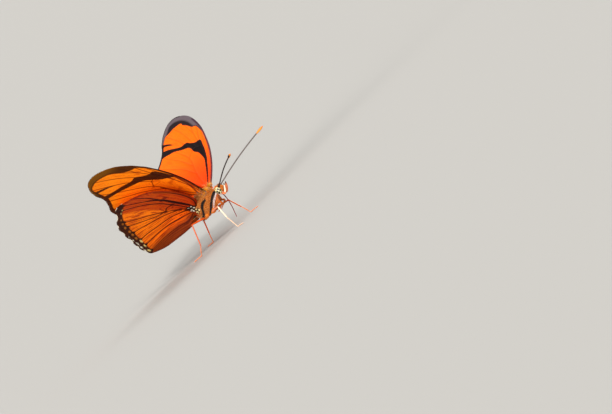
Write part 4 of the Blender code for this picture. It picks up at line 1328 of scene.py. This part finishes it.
hair = coat_finish()
for side, sign in SIDES.items():
    roots, normals = scattered(skin_points, skin_faces, THORAX_LOCKS, thorax_keep(sign))
    shoulder = ease((roots[:, 2] + 1.6) / 1.6)
    low = ease((-4.6 - roots[:, 2]) / 1.2)
    hip = ease((-5.6 - roots[:, 0]) / 2) * ease((-3.0 - roots[:, 2]) / 1.5)
    flap = on_tegula(roots)
    length = (0.5 + 0.6 * shoulder - 0.2 * low + 0.8 * hip) * (1 - 0.4 * flap)
    rise = (0.34 + 0.14 * shoulder + 0.25 * hip) * (1 - 0.75 * flap)
    make_coat("thorax_coat_" + side, "thorax_hair", hair, roots, normals, comb_thorax(roots, flap),
              length, 0.07, rise)

roots, normals = scattered(skin_points, skin_faces, HEAD_LOCKS,
                           lambda r: ease((r[:, 0] - 2.1) / 0.5) * (beyond_eye(r) > 0.08))
top = ease((roots[:, 2] + 2.3) / 0.5)
lie = np.column_stack([np.where(roots[:, 0] > 4.2, 0.3, -1.0), 0.2 * roots[:, 1], np.full(len(roots), 0.7)])
make_coat("head_coat", "head_hair", hair, roots, normals, lie, 0.32 + 0.4 * top, 0.05, 0.4 + 0.7 * top)

roots, normals = scattered(skin_points, skin_faces, ABDOMEN_LOCKS, lambda r: ease((-8.0 - r[:, 0]) / 0.8))
waist = ease((roots[:, 0] + 12.5) / 3)
make_coat("abdomen_coat", "abdomen_scales", hair, roots, normals, combed(roots, 0.2 + 0.7 * waist),
          0.24 + 0.5 * waist, 0.08, 0.12 + 0.3 * waist)

# %% [markdown]
# ## Where wings meet the body, and where they end
# Long hair grows over the wing roots and hides the joint, so the same locks are set on the first
# few millimetres of each wing. Along the outer margin the scales stand out past the membrane as a
# fringe, dark with white between the veins of the hind wing.

# %% Root hair and fringes
ROOT_HAIR, ROOT_REACH = 3900, 2.6  # places tried, and how far out along the wing
ROOT_LENGTH, ROOT_WIDTH, ROOT_RISE, ROOT_CLEAR, ROOT_LIFT = 0.75, 0.06, 0.12, 0.15, 0.15
FRINGE_STEP, FRINGE_LENGTH, FRINGE_WIDTH = 0.06, 0.34, 0.08
FRINGE_REACH, FRINGE_SINK, FRINGE_STRAY = 1.2, 0.12, 0.12
WHITE_START = 1.15  # millimetres from the end of a vein


def along_wing(name, flat, step):
    """The direction in space of a small flat step."""
    return unit(wing_surface(name, flat + NUDGE * step) - wing_surface(name, flat))


def root_marks(ruff):
    """The body's marks without its bands and spots, for hair on the wing roots."""
    def marks(roots):
        kept = body_marks(roots)
        for key in ("bands", "pale", "crown", "orbit", "rim"):
            kept[key] = np.full(len(roots), UNMARKED)
        for key in ("mottle", "head", "front", "belly", "abdomen"):
            kept[key] = np.zeros(len(roots))
        kept["ruff"] = np.full(len(roots), ruff)
        return kept
    return marks


for name in WING_SETS:
    kind = name.split("_")[0]
    upper_share, ruff = (0.5, 1.0) if kind == "forewing" else (1.0, 0.0)
    flat = rng.uniform((-1.5, -5.5), (ROOT_REACH, 2.5), (ROOT_HAIR, 2))
    stay = rng.random(len(flat)) < ease((ROOT_REACH - flat[:, 0]) / 3)
    flat = flat[stay & (depth_in(flat, plans[kind]["rim"]) > ROOT_CLEAR)]
    normal = wing_normals(name, flat)
    up = normal * np.where(rng.random(len(flat)) < upper_share, 1, -1)[:, None]
    roots = wing_surface(name, flat) + up * ROOT_LIFT
    step = np.column_stack([np.ones(len(flat)), rng.normal(0, 0.15, len(flat))])
    make_coat("root_hair_" + name, "thorax_hair", hair, roots, up, along_wing(name, flat, step),
              ROOT_LENGTH, ROOT_WIDTH, ROOT_RISE, root_marks(ruff))


def fringe_finish():
    paint = Finish("fringe_scales", 0.6)
    paint.colour = paint.mix(paint.share("lock", 0.0, 1.0), tint(20, 9, 5), tint(64, 34, 18))
    paint.mark("pale", tint(240, 228, 200), 0.1, 0.9)
    return paint.done()


def make_fringe(name, finish):
    """Locks in a row along the outer margin, white between the veins of the hind wing."""
    kind = name.split("_")[0]
    loop = closed_loop(plans[kind]["rim"])
    far = running_length(loop)
    places = np.arange(0, far[-1], FRINGE_STEP)
    flat = np.column_stack([np.interp(places, far, loop[:, k]) for k in range(2)])
    run = unit(np.roll(flat, -2, axis=0) - np.roll(flat, 2, axis=0))
    outward = np.column_stack([-run[:, 1], run[:, 0]])
    margin = smooth_curve(WING_SETS[name][0]["outer"], LINE_STEP)
    outer = distance_to(flat, margin) < FRINGE_REACH
    flat, outward = flat[outer], outward[outer]
    normal = wing_normals(name, flat)
    roots = wing_surface(name, flat - FRINGE_SINK * outward) + normal * LOCK_SINK
    lie = along_wing(name, flat, outward) + rng.normal(0, FRINGE_STRAY, (len(flat), 3))
    length = FRINGE_LENGTH * rng.uniform(0.7, 1.1, len(flat))
    points, faces, along, size = locks(roots, normal, lie, length, FRINGE_WIDTH, 0.0)
    pale = np.full(len(flat), UNMARKED)
    if kind == "hindwing":
        vein_ends = np.array([vein[-1] for vein in plans[kind]["veins"]])
        pale = to_nearest(flat, vein_ends) - WHITE_START
    values = {"pale": np.repeat(pale, size), "tip": along, "lock": np.repeat(rng.random(len(flat)), size)}
    item = grow("fringe_" + name, points, faces, values, finish, smooth=False)
    patch_locks(item, wing_place(kind, flat), size)
    settle(item, kind + "_scales")


fringe_scales = fringe_finish()
for name in WING_SETS:
    make_fringe(name, fringe_scales)

# %% [markdown]
# ## The eyes
# A compound eye is a dome of thousands of lenses. This butterfly's are cream, with a few large
# dark spots that show on every side of them. The dome is an egg with a fine net of facets in its
# bump, and the spots are distances on the dome, so they stay put as the view turns.

# %% Two compound eyes
EYE_SPOTS = [  # x, y on the right side, z from the eye's middle, and radius
    (0.61, -0.58, 0.42, 0.38), (0.95, -0.38, -0.32, 0.37), (-0.1, -0.76, 0.06, 0.38),
    (0.15, -0.66, -0.64, 0.37), (0.83, 0.13, 0.79, 0.26), (0.05, -0.55, 0.9, 0.2),
    (-0.75, -0.5, 0.55, 0.2), (0.62, -0.2, -1.04, 0.2)]
FACET, EYE_SINK = 0.055, 0.03
EYE_SEGMENTS, EYE_RINGS = 72, 48
REAR_WAY, REAR_START = (-0.85, 0.0, -0.5), 0.5  # where the dark rear edge begins


def eye_finish():
    paint = Finish("compound_eye", 0.18, 0.5)
    paint.ground(0.6, 2.0, tint(214, 204, 128), tint(240, 234, 182))
    place = paint.node("ShaderNodeTexCoord").outputs["Object"]
    net = {"Vector": place, "Scale": 1 / (FACET * MM), "Randomness": 0.35}
    from_middle = paint.node("ShaderNodeTexVoronoi", net).outputs["Distance"]
    paint.lay(paint.ramp(from_middle, 0.35, 0.6), tint(120, 104, 50), 0.3)
    paint.mark("spot", tint(12, 9, 10), 0.05)
    paint.mark("edge", tint(22, 14, 12), 0.08)
    paint.bump(from_middle, -0.012)
    paint.shader.inputs["Coat Weight"].default_value = 0.6
    paint.shader.inputs["Coat Roughness"].default_value = 0.08
    return paint.done()


def make_eye(side, finish):
    """One dome, with distances to its spots and to its dark rear edge."""
    work = bmesh.new()
    half = [h - EYE_SINK for h in EYE_HALF]
    add_egg(work, sided(EYE_MIDDLE, side), half, EYE_TILT, EYE_SEGMENTS, EYE_RINGS)
    mesh = bpy.data.meshes.new("eye_dome")
    work.to_mesh(mesh)
    work.free()
    points, faces = arrays_of(mesh)
    bpy.data.meshes.remove(mesh)
    offset = points - sided(EYE_MIDDLE, side)
    spot = np.full(len(points), FAR_OUTSIDE)
    for x, y, z, radius in EYE_SPOTS:
        there = np.array([x, -y * SIDES[side], z])
        spot = np.maximum(spot, radius - np.linalg.norm(offset - there, axis=1))
    edge = offset @ np.array(REAR_WAY) - REAR_START
    eye = grow("eye_dome_" + side, points, faces, {"spot": spot, "edge": edge}, finish)
    settle(eye, "eye", "eye_" + side)


faceted = eye_finish()
for side in SIDES:
    make_eye(side, faceted)

# %% [markdown]
# ## Limbs: how they are grown
# Feelers, palps, tongue and legs are all round things swept along a line. One function makes such a
# limb from a route and radii. It also returns which way each point faces, so that a limb can be
# pale above and dark below.

# %% A limb along a route
LIMB_STEP = 0.12
SPIKE_STATIONS, SPIKE_SIDES, SPIKE_TAPER = 5, 6, 0.85


def limb_faces(count, sides):
    """Quads between the rings of a limb, and triangles that close its two ends."""
    faces = []
    last = (count - 1) * sides
    for low in range(0, last, sides):
        for k in range(sides):
            beside = (k + 1) % sides
            faces.append((low + k, low + beside, low + sides + beside, low + sides + k))
    tip = count * sides
    faces += [(tip, (k + 1) % sides, k) for k in range(sides)]
    faces += [(tip + 1, last + k, last + (k + 1) % sides) for k in range(sides)]
    return faces


def swept(route, radii, sides=12):
    """A closed limb: points, faces, distance along it and the way each point faces."""
    route, radii = np.asarray(route, float), np.asarray(radii, float)
    run = unit(np.gradient(route, axis=0))
    side = np.cross(run[0], (0.0, 0.3, 1.0))
    turn = 2 * np.pi * np.arange(sides) / sides
    rings, facing = [], []
    for place, ahead, radius in zip(route, run, radii):
        side = unit(side - (side @ ahead) * ahead)
        up = np.cross(ahead, side)
        out = np.cos(turn)[:, None] * side + np.sin(turn)[:, None] * up
        rings.append(place + radius * out)
        facing.append(unit(out))
    rings.append([route[0] - run[0] * radii[0] * 0.3, route[-1] + run[-1] * radii[-1] * 0.5])
    facing.append([-run[0], run[-1]])
    far = running_length(route)
    along = np.concatenate([np.repeat(far, sides), [0, far[-1]]])
    return np.vstack(rings), limb_faces(len(route), sides), along, np.vstack(facing)


def curved_limb(route, radii, side, sides):
    """A limb of the left or the right side, along a smooth curve."""
    stations = smooth_curve([(*sided(p, side), r) for p, r in zip(route, radii)], LIMB_STEP)
    return swept(stations[:, :3], stations[:, 3], sides)


def joined(*limbs):
    """Several limbs as one: their points, faces and values after one another."""
    faces, start = [], 0
    for points, own_faces, *_ in limbs:
        faces += [tuple(corner + start for corner in face) for face in own_faces]
        start += len(points)
    points, _, along, facing = zip(*limbs)
    return np.vstack(points), faces, np.concatenate(along), np.vstack(facing)


def spike(root, tip, radius, droop=0.0):
    """A thin bent cone, for spurs, spines and claws."""
    root, tip = np.array(root, float), np.array(tip, float)
    f = np.linspace(0, 1, SPIKE_STATIONS)[:, None]
    route = root + f * (tip - root) + np.array([0, 0, -droop]) * f ** 2
    return swept(route, radius * (1 - SPIKE_TAPER * f[:, 0]), SPIKE_SIDES)


print("a spine:", len(spike((0, 0, 0), (0, 0, 0.3), 0.03)[1]), "faces")

# %% [markdown]
# ## Feelers
# A feeler is a chain of some fifty rings that swells to a club. It is black, with a grey painted
# sheen on the side that faces in and down, and the club has an orange tip. Each ring is a little
# wider at its far end, which gives the shaft its fine notches.

# %% Two clubbed feelers
ANTENNA_BASE = (4.7, 0.6, -2.1)
ANTENNA_TIPS = {"right": (23.3, 12.0, 3.3), "left": (24.8, 12.0, 1.8)}
ANTENNA_ARCH, ANTENNA_SINK = 0.5, 0.02
SHAFT_RADIUS, CLUB_RADIUS, CLUB_LENGTH, TIP_RADIUS = 0.21, 0.39, 3.6, 0.16
CLUB_SWELL, TIP_LENGTH = 0.55, 0.9  # share of the club that swells, and length of its round tip
ANTENNA_RING, STATIONS_IN_RING, FEELER_SIDES = 0.42, 4, 14


def antenna_finish():
    paint = Finish("antenna_scales", 0.45)
    paint.ground(0.2, 1.0, tint(20, 16, 18), tint(46, 38, 38))
    # Painted sheen: grey where the feeler faces in and down.
    paint.lay(paint.share("inner", 0.0, 0.6), tint(128, 116, 112), 0.75)
    club = paint.both(paint.share("to_tip", 3.3, 2.7), paint.share("inner", -0.3, 0.1))
    paint.lay(club, tint(236, 150, 60), 0.95)
    paint.lay(paint.share("to_tip", 0.75, 0.45), tint(236, 128, 30), 1.0)
    paint.lay(paint.share("notch", 0.8, 1.0), tint(8, 6, 6), 0.6)
    paint.bump(paint.noise(0.06, 1.0), 0.01)
    return paint.done()


def make_feeler(side, finish):
    """A shaft of rings that swells to a club, in a slight arch from base to tip."""
    base, tip = (np.array(sided(end, side)) for end in (ANTENNA_BASE, ANTENNA_TIPS[side]))
    length = float(np.linalg.norm(tip - base))
    f = np.linspace(-ANTENNA_SINK, 1, round(length / ANTENNA_RING) * STATIONS_IN_RING + 1)
    route = base + f[:, None] * (tip - base)
    route[:, 2] += ANTENNA_ARCH * np.sin(np.pi * np.clip(f, 0, 1))
    to_tip = (1 - f) * length
    swell = ease((CLUB_LENGTH - to_tip) / (CLUB_LENGTH * CLUB_SWELL))
    radii = SHAFT_RADIUS + (CLUB_RADIUS - SHAFT_RADIUS) * swell
    radii = radii + (TIP_RADIUS - radii) * ease((TIP_LENGTH - to_tip) / TIP_LENGTH)
    notch = (to_tip / ANTENNA_RING) % 1
    radii = radii * (1.05 - 0.13 * notch) + 0.1 * ease((0.03 - f) / 0.03)
    points, faces, along, facing = swept(route, radii, FEELER_SIDES)
    inner = facing @ unit(np.array([0.25, -SIDES[side] * 0.75, -0.6]))
    notches = np.concatenate([np.repeat(notch, FEELER_SIDES), [0, 0]])
    values = {"inner": inner, "to_tip": along[-1] - along, "notch": notches}
    settle(grow("antenna_rings_" + side, points, faces, values, finish), "antenna", "antenna_" + side)


feeler_finish = antenna_finish()
for side in SIDES:
    make_feeler(side, feeler_finish)

# %% [markdown]
# ## Mouthparts
# Two palps, furry and blunt, stand up before the face, and the proboscis hangs down between them.
# A proboscis is two half tubes hooked together, ribbed so that they can roll up. Here it is two
# thin tubes side by side.

# %% Palps and proboscis
PALP_ROUTE = [(3.6, 0.66, -3.9), (3.95, 0.68, -4.3), (4.6, 0.72, -4.95), (5.6, 0.76, -4.2),
              (6.45, 0.74, -3.1), (6.85, 0.7, -2.5)]
PALP_RADII = [0.2, 0.34, 0.38, 0.4, 0.32, 0.14]
PALP_SIDES, BRISTLES = 18, 900
PROBOSCIS_ROUTE = [(3.3, 0, -4.0), (3.35, 0, -6.1), (2.85, 0, -8.4), (2.2, 0, -10.4), (1.0, 0, -13.2)]
PROBOSCIS_RADII = [0.12, 0.115, 0.11, 0.1, 0.07]
PROBOSCIS_RIB, TUBE_GAP = 0.11, 0.8


def palp_finish():
    paint = Finish("palp_scales", 0.6)
    paint.ground(0.2, 2.0, tint(226, 118, 60), tint(244, 158, 110))
    stripe = paint.both(paint.share("outer", 0.2, 0.5), paint.share("to_tip", 3.1, 2.6))
    paint.lay(stripe, tint(250, 236, 214), 0.95)
    front = paint.both(paint.share("front", 0.45, 0.75), paint.share("outer", 0.75, 0.4))
    paint.lay(front, tint(222, 92, 40), 0.8)
    rear = paint.both(paint.share("front", -0.2, -0.5), paint.share("to_tip", 2.9, 2.4))
    paint.lay(rear, tint(20, 12, 12), 0.95)
    paint.lay(paint.share("to_tip", 0.7, 0.3), tint(60, 30, 24), 0.8)
    paint.bump(paint.noise(0.09, 2.0), 0.04)
    return paint.done()


def from_nearest(points, values):
    """Marks for hair on a limb: each root takes the values of the limb's nearest point."""
    def marks(roots):
        nearest = [int(np.argmin(((points - root) ** 2).sum(axis=1))) for root in roots]
        return {key: numbers[nearest] for key, numbers in values.items()}
    return marks


palp_paint = palp_finish()
for side in SIDES:
    points, faces, along, facing = curved_limb(PALP_ROUTE, PALP_RADII, side, PALP_SIDES)
    values = {"outer": facing[:, 1] * SIDES[side], "front": facing[:, 0], "to_tip": along.max() - along}
    settle(grow("palp_skin_" + side, points, faces, values, palp_paint), "palp_scales", "palp_" + side)
    roots, normals = scattered(points, faces, BRISTLES, lambda r: beyond_eye(r) > 0.05)
    lie = np.tile([0.55, 0.0, 0.8], (len(roots), 1))
    make_coat("palp_bristles_" + side, "palp_scales", palp_paint, roots, normals, lie, 0.3, 0.05, 0.3,
              from_nearest(points, values))


def proboscis_finish():
    paint = Finish("proboscis_shell", 0.35, 0.4)
    paint.ground(0.5, 1.0, tint(96, 8, 10), tint(150, 24, 14))
    ribs = paint.math("SINE", paint.both(paint.value("along"), 2 * math.pi / PROBOSCIS_RIB))
    paint.lay(paint.ramp(ribs, 0.2, 1.0), tint(60, 4, 6), 0.5)
    paint.bump(ribs, 0.012)
    return paint.done()


stations = smooth_curve([(*p, r) for p, r in zip(PROBOSCIS_ROUTE, PROBOSCIS_RADII)], 0.2)
tubes = []
for half in (-1, 1):
    aside = np.outer(half * stations[:, 3] * TUBE_GAP, (0, 1, 0))
    tubes.append(swept(stations[:, :3] + aside, stations[:, 3]))
points, faces, along, _ = joined(*tubes)
tongue = grow("proboscis_tubes", points, faces, {"along": along}, proboscis_finish())
settle(tongue, "proboscis", "proboscis")

# %% [markdown]
# ## Legs
# Four legs carry the butterfly. The first pair is small, folded under the chest and used to taste.
# Each walking leg is a thick femur, a long straight tibia with two spurs, and a tarsus of five
# short joints with a pair of claws. They are thinner than their solids, and their feet lie on the
# floor in the same places.

# %% Four walking legs
LEGS = {  # hip, knee and ankle in the body frame, then heel and toe as x, y on the floor
    "midleg_right": ((-3.4, -1.4, -6.5), (1.0, -4.0, -6.4), (1.8, -5.9, -11.0), (2.7, -6.5), (5.4, -7.3)),
    "midleg_left": ((-3.4, 1.4, -6.5), (0.8, 4.0, -7.5), (1.3, 5.9, -12.0), (2.1, 6.5), (4.8, 7.4)),
    "hindleg_right": ((-6.8, -1.4, -6.3), (-10.4, -4.7, -4.9), (-12.8, -6.0, -11.6),
                      (-15.0, -6.6), (-18.0, -7.2)),
    "hindleg_left": ((-6.8, 1.4, -6.3), (-10.9, 4.6, -4.8), (-14.6, 6.0, -11.0),
                     (-16.4, 6.7), (-19.2, 7.3)),
}
FEMUR = [(0.0, 0.26), (0.12, 0.33), (0.4, 0.34), (0.8, 0.27), (0.97, 0.23), (1.0, 0.19)]
TIBIA = [(0.0, 0.17), (0.04, 0.22), (0.4, 0.23), (0.85, 0.22), (1.0, 0.2)]
KNEE_RADII = [0.14, 0.24, 0.2]
SPUR_REACH, SPUR_SPREAD, SPUR_RADIUS = 0.75, 0.28, 0.07
CLAW_REACH, CLAW_SPREAD, CLAW_RADIUS = 0.45, 0.22, 0.06
LEG_SIDES, LEG_STATIONS = 14, 33
TARSUS_RADIUS, FOOT_RISE, HEEL_RISE, CLAW_RISE = 0.15, 0.18, 0.12, 0.06
TARSUS_SHARES = [0.0, 0.42, 0.6, 0.75, 0.87, 1.0]
TARSUS_SWELL = np.array([0.55, 0.75, 0.85, 0.9, 0.93, 0.96, 1.0, 1.0, 0.7])
TARSUS_STEP = 0.08
SPINES, SPINE_LENGTH, SPINE_RADIUS, SPINE_ROOTS = 26, 0.24, 0.03, 0.22
CREAM = {"midleg": (0.25, 1.0, 0.7), "hindleg": (0.0, 0.12, 0.1)}  # femur, tibia and tarsus


def on_floor(x, y, rise):
    """The body-frame point that stands the given rise above the floor."""
    return np.array([x, y, (rise - BODY_ORIGIN.z - x * math.sin(HEAD_UP)) / math.cos(HEAD_UP)])


def stick(start, end, profile):
    """A straight limb whose radius follows a profile."""
    f = np.linspace(0, 1, LEG_STATIONS)
    radii = np.interp(f, *np.array(profile).T)
    return swept(start + f[:, None] * (end - start), radii, LEG_SIDES)


def tarsus(ankle, heel, toe):
    """Five short joints, each a little wider at its far end."""
    bends = [ankle, ankle + 0.62 * (heel - ankle), heel, heel + 0.35 * (toe - heel), toe]
    line = smooth_curve(bends, TARSUS_STEP)
    far = running_length(line)
    share = far / far[-1]
    pieces = []
    for low, high in zip(TARSUS_SHARES, TARSUS_SHARES[1:]):
        f = np.linspace(low, high, len(TARSUS_SWELL))
        route = np.column_stack([np.interp(f, share, line[:, k]) for k in range(3)])
        pieces.append(swept(route, TARSUS_RADIUS * TARSUS_SWELL * (1.05 - 0.2 * low)))
    return pieces


def claws(toe, ahead):
    """Two hooks that spread and touch the floor."""
    across = np.array([-ahead[1], ahead[0], 0.0])
    tips = [toe + CLAW_REACH * ahead + CLAW_SPREAD * turn * across for turn in (-1, 1)]
    down = on_floor(tips[0][0], tips[0][1], CLAW_RISE)[2] - toe[2]
    return [spike(toe, tip, CLAW_RADIUS, -down) for tip in tips]


def spines(start, end):
    """Small stiff hairs in rows down a limb."""
    ahead = unit(end - start)
    side = unit(np.cross(ahead, (0.1, 0.2, 1.0)))
    up = np.cross(side, ahead)
    made = []
    for k in range(SPINES):
        turn = k * GOLDEN_TURN
        out = math.cos(turn) * side + math.sin(turn) * up
        root = start + (0.12 + 0.86 * k / SPINES) * (end - start) + out * SPINE_ROOTS * 0.8
        made.append(spike(root, root + SPINE_LENGTH * (0.5 * out + 0.75 * ahead), SPINE_RADIUS))
    return made


def leg_finish():
    paint = Finish("leg_scales", 0.5, 0.12)
    paint.ground(0.25, 2.0, tint(184, 52, 0), tint(222, 92, 6))
    paint.lay(paint.value("tan"), tint(184, 98, 36), 0.85)
    paint.lay(paint.value("foot"), tint(232, 124, 48), 0.65)
    pale = paint.both(paint.share("outer", -0.2, 0.35), paint.value("cream"))
    paint.lay(pale, tint(244, 226, 196), 1.0)
    paint.lay(paint.ramp(paint.noise(0.1, 1.0), 0.55, 0.8), tint(120, 40, 10), 0.25)
    paint.bump(paint.noise(0.07, 2.0), 0.015)
    return paint.done()


def make_leg(name, hip, knee, ankle, heel, toe):
    """Femur and knee, tibia with spurs and spines, tarsus and claws, as one piece."""
    kind, side = name.split("_")
    hip, knee, ankle = np.array(hip), np.array(knee), np.array(ankle)
    heel, toe = on_floor(*heel, FOOT_RISE + HEEL_RISE), on_floor(*toe, FOOT_RISE)
    down = unit(ankle - knee)
    aside = unit(np.cross(down, (0.0, 0.2, 1.0)))
    knob = swept([knee - 0.14 * down, knee, knee + 0.2 * down], KNEE_RADII)
    ends = [ankle + SPUR_REACH * down + turn * SPUR_SPREAD * aside for turn in (-1, 1)]
    spurs = [spike(ankle, end, SPUR_RADIUS) for end in ends]
    parts = [joined(stick(hip, knee, FEMUR), knob),
             joined(stick(knee, ankle, TIBIA), *spurs, *spines(knee, ankle)),
             joined(*tarsus(ankle, heel, toe), *claws(toe, unit(toe - heel)))]
    points, faces, _, facing = joined(*parts)
    part_of = np.repeat([0, 1, 2], [len(part[0]) for part in parts])
    values = {"outer": facing @ unit(np.array([0.35, SIDES[side] * 0.75, 0.55])),
              "cream": np.array(CREAM[kind])[part_of], "foot": (part_of == 2).astype(float)}
    settle(grow("leg_" + name, points, faces, values, leg_paint), "leg", name)


leg_paint = leg_finish()
for name, joints in LEGS.items():
    make_leg(name, *joints)

# %% [markdown]
# ## Forelegs
# The first legs are brushes rather than legs. Each is a short bent limb with a fringe of hair.

# %% Two small forelegs
FORELEG_ROUTE = [(0.6, 1.0, -5.4), (1.5, 1.2, -6.5), (0.4, 1.4, -7.05), (-1.6, 1.2, -7.9)]
FORELEG_RADII = [0.24, 0.27, 0.22, 0.1]
FORELEG_HAIRS = 900


def brush_marks(points):
    """A plain tan limb."""
    count = len(points)
    return {"outer": np.zeros(count), "cream": np.zeros(count), "tan": np.ones(count)}


for side in SIDES:
    points, faces, *_ = curved_limb(FORELEG_ROUTE, FORELEG_RADII, side, LEG_SIDES)
    brush = grow("foreleg_skin_" + side, points, faces, brush_marks(points), leg_paint)
    settle(brush, "leg", "foreleg_" + side)
    roots, normals = scattered(points, faces, FORELEG_HAIRS, lambda r: np.ones(len(r)))
    lie = np.tile([-0.8, 0.0, -0.4], (len(roots), 1))
    make_coat("foreleg_brush_" + side, "leg", leg_paint, roots, normals, lie, 0.38, 0.05, 0.3, brush_marks)

# %% [markdown]
# ## Size before and after
# The looks should leave the size as it was. We print the solids' box and the finished model's
# box, so that the two can be compared.

# %% Sizes and finish
full_box = [list(corner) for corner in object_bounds()]
for label, box in (("solids", cad_box), ("finished", full_box)):
    print(label, [[round(v * 1000, 2) for v in corner] for corner in box])
